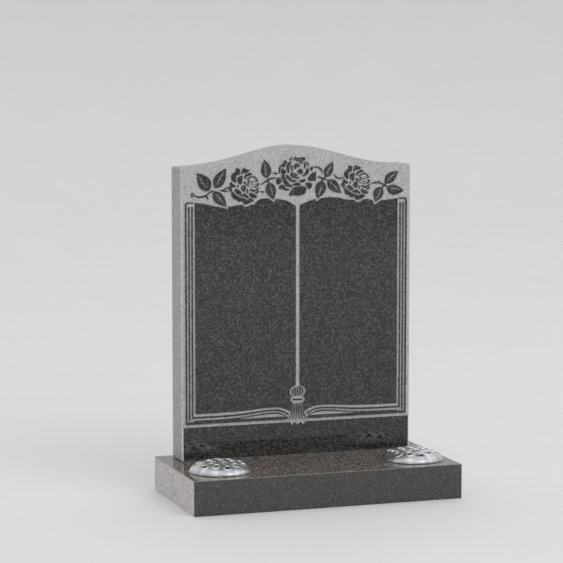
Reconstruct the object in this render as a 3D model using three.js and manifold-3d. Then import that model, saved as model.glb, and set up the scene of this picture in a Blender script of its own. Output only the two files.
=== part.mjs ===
// Lawn memorial: an upright granite tablet carved with an open book under a band of roses, standing on a
// granite base with two flower wells, each under a pierced aluminium lid.
// Millimetres, +Z up, carved face towards -Y. The origin is the middle of the base's underside.
import * as THREE from 'three';
import { mergeVertices } from 'three/addons/utils/BufferGeometryUtils.js';
import Module from 'manifold-3d';

// Base block and its place under the tablet
const BASE_WIDTH = 610;
const BASE_DEPTH = 305;
const BASE_HEIGHT = 76;
const BASE_ARRIS = 1;

// Tablet
const TABLET_WIDTH = 536;
const TABLET_HEIGHT = 690;
const SHOULDER_HEIGHT = 646;
const TABLET_THICKNESS = 76;
const TABLET_FRONT_Y = 61.5;
const TABLET_CHAMFER = 3;
const OGEE_CROWN_HANDLE = 75;
const OGEE_SHOULDER_HANDLE = 127;
const OGEE_STEPS = 12;

// Carving: the field is sunk, the polished design stays at the face
const FIELD_DEPTH = 2;
const CUT_OVERRUN = 1;
const BAND_HEIGHT = 76;

// Open book, distances from the spine and heights above the base
const SPINE_HALF_WIDTH = 4.25;
const PAGE_EDGE = 237;
const PAGE_FOOT = 105.5;
const PAGE_LINE = { inner: 241.5, outer: 245, foot: 95.5, head: 561, thickness: 4 };
const COVER_INNER_LINE = { inner: 248.5, outer: 252, head: 561 };
const COVER = { inner: 255.5, outer: 259.5, foot: 82.5, shelf: 91, head: 571, returnEnd: 240, thickness: 3 };
const COVER_CORNER = { radius: 6, steps: 3 };
const CORNER_GROOVE = { end: 238, foot: 88.3, head: 90.8 };
const WAVE = { crest: 58, spread: 62, fall: 36, drop: 1.5, power: 2.4 };
const WAVE_LIFT = { page: 5.5, lineTop: 7, lineFoot: 7.5, shelf: 9, grooveTop: 7.5, grooveFoot: 0.8 };
const PAGE_GROOVE = { tip: 135, end: 28, foot: 89, tipThickness: 0.3, endThickness: 1, steps: 8 };
const LINE_STEPS = 12;

// Upper edge of each page, from its outer corner to the spine
const PAGE_HEADS = {
  left: [
    [237, 570], [205, 564.5], [185, 560], [160, 559.5], [138, 562.5], [128, 563], [104, 562.5],
    [97, 568.5], [90, 573], [79, 576], [50, 574], [31, 571.5], [13, 563.5], [4.25, 557],
  ],
  right: [
    [237, 570], [200, 566], [178, 566.5], [160, 569.5], [130, 568.5], [110, 570], [97, 573.5],
    [74, 575.5], [42, 572], [28, 568.5], [10, 561.5], [4.25, 557],
  ],
};

// Tassel that hangs from the spine cord
const KNOB = { height: 144.5, halfWidth: 18.5, halfHeight: 14, sides: 20 };
const GORE = { count: 5, halfHeight: 11, pitch: 6.2, halfWidth: 1.8, gather: 0.35, bluntness: 0.8 };
const COLLAR = { halfWidth: 17, foot: 120, head: 131, round: 4 };
const COLLAR_SLOT = { halfWidth: 11, foot: 124.7, head: 128 };
const SKIRT = { head: 121, hem: 80, headHalf: 12.5, hemHalf: 21 };
const HEM = { points: 3, pitch: 14, pointHeight: 69, notchHeight: 76 };
const STRAND = { head: 118, foot: 81, headPitch: 4.6, footPitch: 8.2, halfWidth: 2, bluntness: 0.6 };

// Margin of sunk field kept round the leaves where they lie over the pages
const HALO = 4;

// Roses: the outline of each petal's polished face
const CENTRE_ROSE = [
  [[-18.5, 658.5], [-16, 665.5], [-14.5, 666.5], [-13, 664.5], [-14.5, 661], [-16, 658]],
  [[-10.5, 658.5], [-9.5, 662.5], [-6, 666.5], [-4, 666], [-0.5, 662], [-4.5, 659.5]],
  [[-1.5, 663], [3.5, 663.5], [10, 664.5], [15.5, 663.5], [18, 662], [16.5, 659], [14, 657], [12, 658],
   [11, 660], [8.5, 662], [3.5, 662], [-0.5, 661.5]],
  [[-4, 658.5], [0, 659.5], [5.5, 659.5], [9.5, 658.5], [10.5, 656], [8.5, 655.5], [6.5, 657],
   [3.5, 657.5], [-0.5, 657], [-4, 657.5]],
  [[2, 654.5], [5.5, 655], [8, 654], [10, 651.5], [10.5, 649], [9, 650], [6.5, 652.5], [3.5, 652.5]],
  [[-9.5, 644], [-8, 647.5], [-5.5, 650.5], [-2.5, 651.5], [0.5, 650.5], [3.5, 648.5], [5, 646.5],
   [3.5, 644.5], [-0.5, 643.5], [-5.5, 643.5], [-4, 640.5], [-4.5, 639.5], [-6.5, 639.5], [-8.5, 641.5]],
  [[-1.5, 634.5], [1.5, 635.5], [4, 638.5], [6.5, 639.5], [9.5, 638], [11.5, 634.5], [12.5, 632],
   [11.5, 629.5], [8.5, 627.5], [6, 628], [2.5, 630.5], [-1, 632]],
  [[12, 654], [14, 654], [16.5, 652], [18.5, 650], [19.5, 646.5], [17.5, 643.5], [16.5, 640],
   [15, 640.5], [15, 645.5], [15.5, 649.5], [14.5, 652]],
  [[18.5, 655.5], [20.5, 655], [23.5, 652], [26, 648], [26, 645.5], [24.5, 644.5], [24, 647.5],
   [22, 651.5]],
  [[-15.5, 648.5], [-13.5, 649.5], [-13.5, 645.5], [-12.5, 641.5], [-11, 635.5], [-11.5, 633.5],
   [-13, 633.5], [-14.5, 637.5], [-16, 643]],
  [[-23.5, 651.5], [-21.5, 653], [-14.5, 655], [-14, 653.5], [-17.5, 651.5], [-19, 648.5],
   [-19.5, 643.5], [-20, 637.5], [-20.5, 631.5], [-21.5, 630], [-23.5, 632.5], [-24.5, 636.5],
   [-26.5, 640.5], [-25, 648]],
  [[-36.5, 648.5], [-33, 654], [-31.5, 657.5], [-29.5, 659.5], [-24.5, 654.5], [-28.5, 649],
   [-31.5, 643.5], [-33.5, 643.5], [-34.5, 645.5]],
  [[-44, 638.5], [-43.5, 644], [-41, 647], [-36, 648.5], [-34, 645.5], [-38, 645], [-40, 643.5],
   [-40.5, 639.5], [-42, 629.5], [-43.5, 629.5]],
  [[-38.5, 632], [-37.5, 638], [-35.5, 642], [-33, 639.5], [-30, 636.5], [-27.5, 632.5], [-28.5, 629.5],
   [-32.5, 628.5], [-37.5, 628.5]],
  [[-36.5, 627.5], [-32, 627.5], [-31, 625.5], [-30.5, 621.5], [-28.5, 617.5], [-25.5, 612.5],
   [-21.5, 608.5], [-17.5, 605.5], [-11.5, 601.5], [-12, 600], [-21.5, 600], [-25.5, 601.5],
   [-29.5, 604.5], [-31.5, 609], [-34.5, 613.5], [-36.5, 618], [-37.5, 622.5]],
  [[-27, 626.5], [-23.5, 626], [-19.5, 622], [-16, 618.5], [-12, 615.5], [-7.5, 614], [-2, 614.5],
   [-3.5, 612.5], [-7.5, 610.5], [-12.5, 610.5], [-17.5, 612.5], [-21.5, 616.5], [-25.5, 619.5],
   [-27.5, 622]],
  [[-16, 630.5], [-14.5, 631.5], [-12, 628.5], [-9.5, 624.5], [-4.5, 622.5], [5.5, 620], [3.5, 618.5],
   [-2, 618], [-7.5, 619], [-12, 621], [-15.5, 623.5], [-16.5, 626.5]],
  [[-10, 630.5], [-7.5, 630.5], [-4, 628.5], [1.5, 624.5], [-2, 624.5], [-6, 625.5], [-9, 627.5]],
  [[11.5, 624], [16.5, 628.5], [18, 632], [19.5, 636], [21.5, 640], [24, 639.5], [26, 636], [25.5, 632],
   [23.5, 628.5], [20, 626], [16.5, 623.5], [14, 622], [12, 622.5]],
  [[27.5, 638.5], [29.5, 641.5], [33.5, 643.5], [35.5, 642.5], [35, 638.5], [32.5, 634], [31, 634.5],
   [30.5, 637.5]],
  [[24, 618.5], [25.5, 621.5], [29.5, 625.5], [34, 629.5], [38.5, 630.5], [44, 632.5], [42.5, 628.5],
   [42.5, 617.5], [40.5, 612.5], [32, 612.5], [27.5, 611.5], [25.5, 614.5]],
  [[2.5, 613], [5.5, 614.5], [8.5, 614.5], [14.5, 617], [18.5, 616], [16.5, 612], [13.5, 610], [10, 609],
   [6.5, 610.5]],
  [[-13, 605.5], [-7.5, 606.5], [-3.5, 608.5], [0.5, 609], [4, 607.5], [8, 605], [4.5, 603.5],
   [-4, 602.5], [-8.5, 603]],
  [[17.5, 607.5], [22, 608], [27.5, 608.5], [31.5, 606.5], [34.5, 604.5], [33, 601.5], [31, 596.5],
   [28.5, 594.5], [26.5, 594.5], [23.5, 598], [20.5, 601.5]],
  [[-20, 583.5], [-19.5, 586.5], [-16, 591.5], [-12, 596], [-9.5, 598.5], [-3.5, 599.5], [8, 601],
   [14, 601], [17.5, 599.5], [20.5, 596.5], [18.5, 590.5], [17.5, 586], [14, 583.5], [8.5, 581.5],
   [2, 580.5], [-4, 580.5], [-8.5, 581.5], [-11.5, 582.5], [-15.5, 580.5], [-18, 580.5]],
  [[-44, 598], [-43.5, 601.5], [-40.5, 604], [-37.5, 605], [-34, 604.5], [-31.5, 602], [-29.5, 598.5],
   [-25.5, 596], [-18.5, 594.5], [-21.5, 592.5], [-25.5, 592], [-29.5, 592.5], [-32, 594.5], [-36, 596],
   [-42.5, 596.5]],
  [[-50, 612], [-48.5, 618.5], [-46, 621.5], [-43.5, 621.5], [-40, 619.5], [-39.5, 615.5], [-37, 610.5],
   [-42.5, 608.5], [-44, 606], [-46, 605.5], [-48, 608]],
];

// The side rose as it stands on the right, and again on the left, a little larger
const SIDE_ROSE_MIDDLE = { x: 136.5, z: 605 };
const SIDE_ROSE_PLACES = [{ x: 136.5, z: 605, size: 1 }, { x: -125.3, z: 602, size: 1.03 }];
const SIDE_ROSE = [
  [[118.5, 640], [120.5, 645], [122, 644.5], [127.5, 643], [128.5, 640], [127.5, 635.5], [127, 631],
   [120.5, 631], [120, 635.5]],
  [[130.5, 631.5], [131, 635], [132.5, 639], [135, 642], [135.5, 645.5], [138.5, 644], [141.5, 642],
   [149, 641], [148, 638], [145, 635.5], [136, 634.5], [133.5, 633.5]],
  [[109, 628.5], [110.5, 632], [113.5, 634.5], [117.5, 636], [120, 634.5], [120.5, 629.5], [118.5, 624],
   [120, 619], [119, 616.5], [117, 614.5], [114.5, 616.5], [110.5, 619.5], [109, 624]],
  [[122.5, 624], [125, 626], [132.5, 629], [134.5, 627.5], [134, 622.5], [132.5, 618], [132, 613],
   [131, 610], [128, 611.5], [124, 614.5], [123, 616.5], [123.5, 619.5]],
  [[138, 622.5], [138.5, 627.5], [140.5, 631], [144.5, 632], [148.5, 634.5], [151, 635], [155, 632],
   [155.5, 630.5], [151, 630], [146, 629], [142.5, 626], [140.5, 622.5]],
  [[143.5, 621.5], [147, 624.5], [151, 625.5], [154.5, 627.5], [160, 627.5], [163.5, 625], [168, 619],
   [168, 616], [165.5, 616.5], [165, 620], [161.5, 624.5], [158, 625.5], [153.5, 625], [148.5, 622.5],
   [145, 620]],
  [[153.5, 615], [155, 616.5], [157, 616.5], [158.5, 615], [157, 613.5], [155, 613.5]],
  [[145.5, 615.5], [146, 618], [148.5, 619], [151, 618], [148.5, 614], [150.5, 611.5], [148.5, 611.5]],
  [[135.5, 616], [138.5, 616.5], [140.5, 614.5], [145.5, 609], [149, 607.5], [148, 605.5], [144.5, 608],
   [137, 614]],
  [[130, 601], [132, 605.5], [135, 609], [138.5, 608.5], [142, 604.5], [140, 596.5], [138, 595],
   [134.5, 596]],
  [[143.5, 595], [144, 599], [146, 600], [146.5, 597.5], [145.5, 591.5], [144.5, 592]],
  [[166, 611.5], [168.5, 612.5], [171, 611.5], [169, 606.5], [165.5, 605], [161.5, 603], [162, 605],
   [166, 607.5]],
  [[150.5, 599.5], [153.5, 600], [157, 598], [161, 598], [164.5, 599.5], [168, 602.5], [170.5, 603],
   [170, 600], [165.5, 596.5], [161.5, 595], [158, 595], [151, 597.5]],
  [[161.5, 591], [164.5, 593], [167, 595.5], [170, 596.5], [170, 593], [167, 591.5]],
  [[106, 611], [107, 614], [109, 615.5], [111, 613], [114.5, 609.5], [117.5, 608.5], [118.5, 606.5],
   [117, 604.5], [110.5, 605.5]],
  [[102, 602.5], [103.5, 605.5], [106, 607.5], [109, 606], [110.5, 601.5], [110, 597.5], [108.5, 595],
   [107, 595.5]],
  [[121.5, 606], [122.5, 609], [125, 609.5], [125, 606], [124, 604.5]],
  [[116, 597.5], [117, 600], [120, 601.5], [123.5, 599.5], [127.5, 597.5], [130.5, 594], [132, 591],
   [128.5, 589.5], [124.5, 589.5], [121, 591]],
  [[109, 589], [110.5, 596], [113.5, 594], [117, 590], [121, 586.5], [125.5, 584.5], [130, 581.5],
   [131, 575], [126, 574], [123.5, 576], [120, 579], [115, 580], [111.5, 583]],
  [[129.5, 581.5], [136, 580.5], [140.5, 579], [144, 576.5], [147, 578.5], [150.5, 580.5], [154, 579.5],
   [157.5, 577.5], [158.5, 575], [154.5, 574], [151, 571], [147, 570], [142.5, 568], [138.5, 568],
   [135.5, 572], [134, 575], [130, 575.5]],
  [[127.5, 587.5], [133.5, 589], [138, 591.5], [141.5, 589.5], [145, 586.5], [148, 583], [147, 581.5],
   [144, 582], [139, 584], [131.5, 584.5]],
  [[148, 588.5], [150, 592], [152.5, 592], [161.5, 588.5], [167, 584], [164, 581.5], [155.5, 581.5],
   [152, 584.5]],
];

// Edge of the sunk field under a side rose, where it lies over the page
const SIDE_ROSE_MARGIN = [
  [104, 582], [110, 579], [116, 576.5], [121, 574], [125, 571.5], [131.5, 571], [134, 566.5], [137, 564],
  [141.5, 562.5], [147.5, 564], [152.5, 567.5], [158, 571], [164, 577], [168, 583], [140, 600],
  [110, 594],
];

// Sepals, each between two tips: tip x, z, tip x, z, bulge of one edge, bulge of the other, bluntness.
// Bulges are measured to the left of the way from the first tip to the second.
const SEPALS = [[-180, 595.5, -160.5, 592.5, 2, -1.6, 0.6], [-173, 597.5, -161.5, 602, 0.6, -2.4, 0.6]];
const SLIVER_STEP = 4.5;

// Leaves: foot x, z, tip x, z, breadth to the left and to the right of the way from foot to tip
const LEAVES_ABOVE = [
  [-204, 595.5, -231.5, 634, 13.5, 15.5], [-191, 601, -165.5, 643, 12.8, 12.5],
  [-71.5, 621, -77.5, 661, 11.5, 12.5], [65, 620, 82.5, 653.5, 10.5, 10],
  [70.5, 613.5, 101.5, 584, 11.5, 11.5], [207, 604, 238.5, 630.5, 12.5, 9.5],
  [211, 593.5, 252, 586.5, 9.5, 13.5],
];
const LEAVES_OVER_PAGES = [
  [-194.5, 592.5, -164.5, 559.5, 11, 12], [-66.5, 610, -56.5, 573, 11.5, 12.3],
  [58, 611.5, 46, 573, 13.2, 12.5], [198.5, 595, 183, 562, 10.2, 13.5],
];
const LEAF = { fullness: 0.75, bluntness: 0.9, steps: 6, tipMargin: 1.6 };
const LEAF_RIB = { foot: 0.14, head: 0.86, halfWidth: 0.1 };
const LEAF_VEINS = { count: 3, spacing: 0.21, reach: 0.3, start: 0.03, lean: 0.13 };

// Stems: the points that each one runs through
const STEM_WIDTH = 3.8;
const STEM_TAPER = 0.5;
const STEM_STEPS = 5;
const STEMS = [
  [[-198, 595.5], [-207, 588], [-215, 583], [-229, 582], [-239, 586.5]],
  [[-212, 584], [-208, 579.5], [-205.5, 577]],
  [[-202, 592], [-197.5, 593.5], [-193, 594]],
  [[-86.5, 606], [-74, 613], [-62.5, 619], [-50, 620.5]],
  [[-70, 622], [-68.5, 613], [-67.5, 607]],
  [[-57, 630.5], [-46, 630.3]],
  [[-86, 591.3], [-77, 589.3]],
  [[46.5, 620.5], [52.5, 619.8], [60, 616], [70, 613.5]],
  [[37.5, 642.7], [44, 643], [51, 640.3], [55.5, 636], [58, 629.5]],
  [[60, 616.5], [66, 622]],
  [[57.5, 616], [57.5, 608]],
  [[84.5, 626], [90, 620], [96.5, 617], [108, 618.8]],
  [[174, 604], [184, 606], [194, 604.8], [205.5, 600.5]],
  [[192.5, 606], [192.5, 610]],
  [[199.5, 594], [205.5, 599], [213, 595.5]],
  [[206.5, 600], [208, 606]],
];
const STEM_RING = { x: -242.5, z: 587, halfWidth: 3.4, halfHeight: 5, bore: 0.5, sides: 10 };

// Flower wells in the base and the lids over them
const WELL_PLACES = { left: -217.5, right: 226 };
const WELL_Y = -60;
const WELL_RADIUS = 57;
const WELL_DEPTH = 62;
const WELL_SIDES = 32;
const LID_RADIUS = 69;
const LID_HEIGHT = 25.5;
const LID_LIP = 1.5;
const LID_WALL = 2.2;
const LID_SIDES = 24;
const LID_RINGS = 5;
const DOME_FULLNESS = 0.55;
const STEM_HOLE_RADIUS = 6.4;
const STEM_HOLE_PITCH = 25;
const STEM_HOLE_SIDES = 8;
const STEM_HOLE_RINGS = 2;

const POLISHED_GRANITE = { color: 0x4b4947, roughness: 0.3, metalness: 0 };
const ALUMINIUM = { color: 0xd4d5d8, roughness: 0.18, metalness: 1 };

const wasm = await Module();
wasm.setup();

// A closed geometry as a solid that can be joined and cut
function solidOf(geometry) {
  const bare = geometry.clone();
  bare.deleteAttribute('normal');
  bare.deleteAttribute('uv');
  const merged = mergeVertices(bare, 1e-4);
  const triVerts = Uint32Array.from(merged.index.array);
  const vertProperties = Float32Array.from(merged.attributes.position.array);
  return new wasm.Manifold(new wasm.Mesh({ numProp: 3, vertProperties, triVerts }));
}

function geometryOf(solid) {
  const mesh = solid.getMesh();
  const geometry = new THREE.BufferGeometry();
  geometry.setAttribute('position', new THREE.BufferAttribute(Float32Array.from(mesh.vertProperties), 3));
  geometry.setIndex(new THREE.BufferAttribute(Uint32Array.from(mesh.triVerts), 1));
  geometry.computeVertexNormals();
  return geometry;
}

function joined(solids) {
  return solids.reduce((whole, solid) => whole.add(solid));
}

function vectors(points) {
  return points.map(([x, z]) => new THREE.Vector2(x, z));
}

function shapeFrom(points) {
  return new THREE.Shape(vectors(points));
}

// A shape drawn on the tablet's face, x along it and z above the base, cut through a span of depths
function facePrism(shape, fromDepth, toDepth, curveSegments = OGEE_STEPS) {
  const depth = toDepth - fromDepth;
  const geometry = new THREE.ExtrudeGeometry(shape, { depth, bevelEnabled: false, curveSegments });
  geometry.rotateX(Math.PI / 2);
  geometry.translate(0, TABLET_FRONT_Y + toDepth, BASE_HEIGHT);
  return solidOf(geometry);
}

function carvedPrism(shape, curveSegments) {
  return facePrism(shape, -CUT_OVERRUN, FIELD_DEPTH + CUT_OVERRUN, curveSegments);
}

function carvedOutlines(outlines) {
  return outlines.map((points) => carvedPrism(shapeFrom(points)));
}

// Outline between two tips, with each edge swelling to its own bulge half way
function sliverPoints([ax, az, bx, bz, firstBulge, secondBulge, bluntness]) {
  const length = Math.hypot(bx - ax, bz - az);
  const steps = THREE.MathUtils.clamp(Math.round(length / SLIVER_STEP), 3, 6);
  const along = (i, bulge) => {
    const t = (1 - Math.cos((Math.PI * i) / steps)) / 2;
    const swell = (bulge * (4 * t * (1 - t)) ** bluntness) / length;
    return [ax + (bx - ax) * t - (bz - az) * swell, az + (bz - az) * t + (bx - ax) * swell];
  };
  const points = [[ax, az]];
  for (let i = 1; i < steps; i += 1) {
    points.push(along(i, Math.min(firstBulge, secondBulge)));
  }
  points.push([bx, bz]);
  for (let i = steps - 1; i > 0; i -= 1) {
    points.push(along(i, Math.max(firstBulge, secondBulge)));
  }
  return points;
}

// An outline of the side rose, moved and sized to one of its places
function sideRoseAt(outline, { x, z, size }) {
  const middle = SIDE_ROSE_MIDDLE;
  return outline.map(([px, pz]) => [x + (px - middle.x) * size, z + (pz - middle.z) * size]);
}

// Point on a leaf: t runs from foot to tip, s from -1 to 1 across the blade
function leafPoint([footX, footZ, tipX, tipZ, left, right], t, s) {
  const length = Math.hypot(tipX - footX, tipZ - footZ);
  const half = s > 0 ? left : right;
  const across = (half * s * Math.sin(Math.PI * t ** LEAF.fullness) ** LEAF.bluntness) / length;
  const x = footX + (tipX - footX) * t - (tipZ - footZ) * across;
  const z = footZ + (tipZ - footZ) * t + (tipX - footX) * across;
  return [x, z];
}

function leafOutline(leaf) {
  const points = [leafPoint(leaf, 0, 0)];
  for (let i = 1; i < LEAF.steps; i += 1) {
    points.push(leafPoint(leaf, i / LEAF.steps, -1));
  }
  points.push(leafPoint(leaf, 1, 0));
  for (let i = LEAF.steps - 1; i > 0; i -= 1) {
    points.push(leafPoint(leaf, i / LEAF.steps, 1));
  }
  return points;
}

// Sunk midrib with side veins that lean towards the tip
function leafVeins(leaf) {
  const edge = (side) => {
    const points = [];
    for (let i = 0; i < LEAF_VEINS.count; i += 1) {
      const t = LEAF_RIB.foot + LEAF_VEINS.start + LEAF_VEINS.spacing * i;
      points.push(leafPoint(leaf, t, LEAF_RIB.halfWidth * side));
      points.push(leafPoint(leaf, t + LEAF_VEINS.lean, LEAF_VEINS.reach * side));
    }
    return points;
  };
  const foot = leafPoint(leaf, LEAF_RIB.foot, 0);
  const head = leafPoint(leaf, LEAF_RIB.head, 0);
  return [foot, ...edge(-1), head, ...edge(1).reverse()];
}

function leafSolid(leaf) {
  const shape = shapeFrom(leafOutline(leaf));
  shape.holes.push(new THREE.Path(vectors(leafVeins(leaf))));
  return carvedPrism(shape);
}

function leafHalo([footX, footZ, tipX, tipZ, left, right]) {
  const length = Math.hypot(tipX - footX, tipZ - footZ);
  const ux = ((tipX - footX) / length) * HALO;
  const uz = ((tipZ - footZ) / length) * HALO;
  const tip = [tipX + LEAF.tipMargin * ux, tipZ + LEAF.tipMargin * uz];
  return leafOutline([footX - ux, footZ - uz, ...tip, left + HALO, right + HALO]);
}

// A stem of even width that narrows at both ends
function stemPoints(route) {
  const curve = new THREE.SplineCurve(vectors(route));
  const left = [];
  const right = [];
  for (let i = 0; i <= STEM_STEPS; i += 1) {
    const t = i / STEM_STEPS;
    const point = curve.getPoint(t);
    const tangent = curve.getTangent(t);
    const half = (STEM_WIDTH / 2) * (STEM_TAPER + (1 - STEM_TAPER) * Math.sin(Math.PI * t));
    left.push([point.x - tangent.y * half, point.y + tangent.x * half]);
    right.push([point.x + tangent.y * half, point.y - tangent.x * half]);
  }
  return [...right, ...left.reverse()];
}

function stemRing() {
  const { x, z, halfWidth, halfHeight, bore, sides } = STEM_RING;
  const shape = new THREE.Shape();
  shape.absellipse(x, z, halfWidth, halfHeight, 0, 2 * Math.PI);
  const hole = new THREE.Path();
  hole.absellipse(x, z, halfWidth * bore, halfHeight * bore, 0, 2 * Math.PI);
  shape.holes.push(hole);
  return carvedPrism(shape, sides);
}

// Swell of the page ends along the foot of the book
function wave(x) {
  if (x > WAVE.crest) {
    return Math.exp(-(((x - WAVE.crest) / WAVE.spread) ** 2));
  }
  return 1 - WAVE.drop * ((WAVE.crest - x) / WAVE.fall) ** WAVE.power;
}

// Points along the foot of the book, from near the spine outwards, closer together at the swell
function footLine(fromX, toX, height, lift, steps = LINE_STEPS) {
  const points = [];
  for (let i = 0; i <= steps; i += 1) {
    const x = fromX + (toX - fromX) * (i / steps) ** 1.5;
    points.push([x, height + lift * wave(x)]);
  }
  return points;
}

function mirroredPoints(points, side) {
  return side > 0 ? points : points.map(([x, z]) => [-x, z]).reverse();
}

function pagePoints(headPoints) {
  const head = new THREE.SplineCurve(vectors(headPoints)).getPoints(2 * LINE_STEPS);
  const foot = footLine(SPINE_HALF_WIDTH, PAGE_EDGE, PAGE_FOOT, WAVE_LIFT.page);
  foot[0][1] = PAGE_FOOT;
  return [...foot, ...head.map((point) => [point.x, point.y])];
}

function pageLinePoints() {
  const { inner, outer, foot, head, thickness } = PAGE_LINE;
  const lower = footLine(SKIRT.hemHalf, outer, foot, WAVE_LIFT.lineFoot);
  const upper = footLine(SKIRT.hemHalf, inner, foot + thickness, WAVE_LIFT.lineTop);
  return [...lower, [outer, head], [inner, head], ...upper.reverse()];
}

function cornerPoints(x, z, radius, steps) {
  const points = [];
  for (let i = 0; i <= steps; i += 1) {
    const angle = (Math.PI / 2) * (i / steps);
    points.push([x - radius + radius * Math.cos(angle), z - radius + radius * Math.sin(angle)]);
  }
  return points;
}

// Cover: the band under the pages, its inner line and its edge with the short return at the top
function coverPoints() {
  const { inner, outer, foot, head, returnEnd, thickness } = COVER;
  const line = COVER_INNER_LINE;
  const shelf = footLine(SKIRT.hemHalf, line.inner, COVER.shelf, WAVE_LIFT.shelf);
  return [
    [SKIRT.hemHalf, foot], [outer, foot],
    ...cornerPoints(outer, head, COVER_CORNER.radius, COVER_CORNER.steps),
    [returnEnd, head], [returnEnd, head - thickness],
    ...cornerPoints(inner, head - thickness, COVER_CORNER.radius / 2, COVER_CORNER.steps).reverse(),
    [inner, CORNER_GROOVE.foot], [CORNER_GROOVE.end, CORNER_GROOVE.foot],
    [CORNER_GROOVE.end, CORNER_GROOVE.head], [line.outer, CORNER_GROOVE.head],
    [line.outer, line.head], [line.inner, line.head], ...shelf.reverse(),
  ];
}

function pageGroovePoints() {
  const { tip, end, foot, tipThickness, endThickness, steps } = PAGE_GROOVE;
  const lower = footLine(end, tip, foot, WAVE_LIFT.grooveFoot, steps);
  const upper = footLine(end, tip, foot + tipThickness, WAVE_LIFT.grooveTop, steps);
  upper[0][1] = foot + endThickness;
  return [...lower, ...upper.reverse()];
}

// Ground that is sunk under the tassel: knob, collar and skirt with its pointed hem
function tasselGround() {
  const { head, hem, headHalf, hemHalf } = SKIRT;
  const hemLine = [];
  for (let i = 0; i < HEM.points; i += 1) {
    const x = (i - (HEM.points - 1) / 2) * HEM.pitch;
    if (i > 0) {
      hemLine.push([x - HEM.pitch / 2, HEM.notchHeight]);
    }
    hemLine.push([x, HEM.pointHeight]);
  }
  const skirt = [[-hemHalf, hem], ...hemLine, [hemHalf, hem], [headHalf, head], [-headHalf, head]];
  const { halfWidth, round } = COLLAR;
  const rightEdge = [
    [headHalf, COLLAR.foot], [halfWidth, COLLAR.foot + round],
    [halfWidth, COLLAR.head - round], [headHalf, COLLAR.head + round],
  ];
  const leftEdge = rightEdge.map(([x, z]) => [-x, z]).reverse();
  const knob = new THREE.Shape();
  knob.absellipse(0, KNOB.height, KNOB.halfWidth, KNOB.halfHeight, 0, 2 * Math.PI);
  const collarAndSkirt = carvedOutlines([skirt, [...rightEdge, ...leftEdge]]);
  return joined([...collarAndSkirt, carvedPrism(knob, KNOB.sides)]);
}

// Polished gores of the knob, counted from the middle one
function gorePoints(step) {
  const x = step * GORE.pitch * GORE.gather;
  const bulge = -step * GORE.pitch * (1 - GORE.gather);
  const ends = [x, KNOB.height - GORE.halfHeight, x, KNOB.height + GORE.halfHeight];
  return sliverPoints([...ends, bulge + GORE.halfWidth, bulge - GORE.halfWidth, GORE.bluntness]);
}

// Polished strands of the skirt, counted from the middle one
function strandPoints(step) {
  const ends = [step * STRAND.headPitch, STRAND.head, step * STRAND.footPitch, STRAND.foot];
  return sliverPoints([...ends, STRAND.halfWidth, -STRAND.halfWidth, STRAND.bluntness]);
}

function tasselDetail() {
  const { halfWidth, foot, head } = COLLAR_SLOT;
  const outlines = [[[-halfWidth, foot], [halfWidth, foot], [halfWidth, head], [-halfWidth, head]]];
  for (let i = 0; i < GORE.count; i += 1) {
    const step = i - (GORE.count - 1) / 2;
    outlines.push(gorePoints(step), strandPoints(step));
  }
  return joined(carvedOutlines(outlines));
}

// The book's raised faces, cut back where the flowers and the tassel lie over them
function bookSolid(tassel) {
  const half = (side, head) => {
    const raised = (points) => carvedPrism(shapeFrom(mirroredPoints(points, side)));
    const cover = raised(coverPoints()).subtract(raised(pageGroovePoints()));
    return joined([raised(pagePoints(head)), raised(pageLinePoints()), cover]);
  };
  const roseMargins = SIDE_ROSE_PLACES.map((place) => sideRoseAt(SIDE_ROSE_MARGIN, place));
  const margins = carvedOutlines([...roseMargins, ...LEAVES_OVER_PAGES.map(leafHalo)]);
  return half(1, PAGE_HEADS.right).add(half(-1, PAGE_HEADS.left)).subtract(joined([tassel, ...margins]));
}

function tabletFace() {
  const half = TABLET_WIDTH / 2;
  const shape = new THREE.Shape();
  shape.moveTo(-half, 0);
  shape.lineTo(half, 0);
  shape.lineTo(half, SHOULDER_HEIGHT);
  const shoulder = half - OGEE_SHOULDER_HANDLE;
  const crown = OGEE_CROWN_HANDLE;
  shape.bezierCurveTo(shoulder, SHOULDER_HEIGHT, crown, TABLET_HEIGHT, 0, TABLET_HEIGHT);
  shape.bezierCurveTo(-crown, TABLET_HEIGHT, -shoulder, SHOULDER_HEIGHT, -half, SHOULDER_HEIGHT);
  shape.closePath();
  return shape;
}

// Slab with the ogee top and chamfered upright edges
function tabletBlock() {
  const half = TABLET_WIDTH / 2;
  const inner = half - TABLET_CHAMFER;
  const front = TABLET_FRONT_Y;
  const back = front + TABLET_THICKNESS;
  const plan = shapeFrom([
    [-inner, front], [inner, front], [half, front + TABLET_CHAMFER], [half, back - TABLET_CHAMFER],
    [inner, back], [-inner, back], [-half, back - TABLET_CHAMFER], [-half, front + TABLET_CHAMFER],
  ]);
  const depth = TABLET_HEIGHT + CUT_OVERRUN;
  const upright = new THREE.ExtrudeGeometry(plan, { depth, bevelEnabled: false });
  upright.translate(0, 0, BASE_HEIGHT);
  return solidOf(upright).intersect(facePrism(tabletFace(), -CUT_OVERRUN, TABLET_THICKNESS + CUT_OVERRUN));
}

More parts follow.
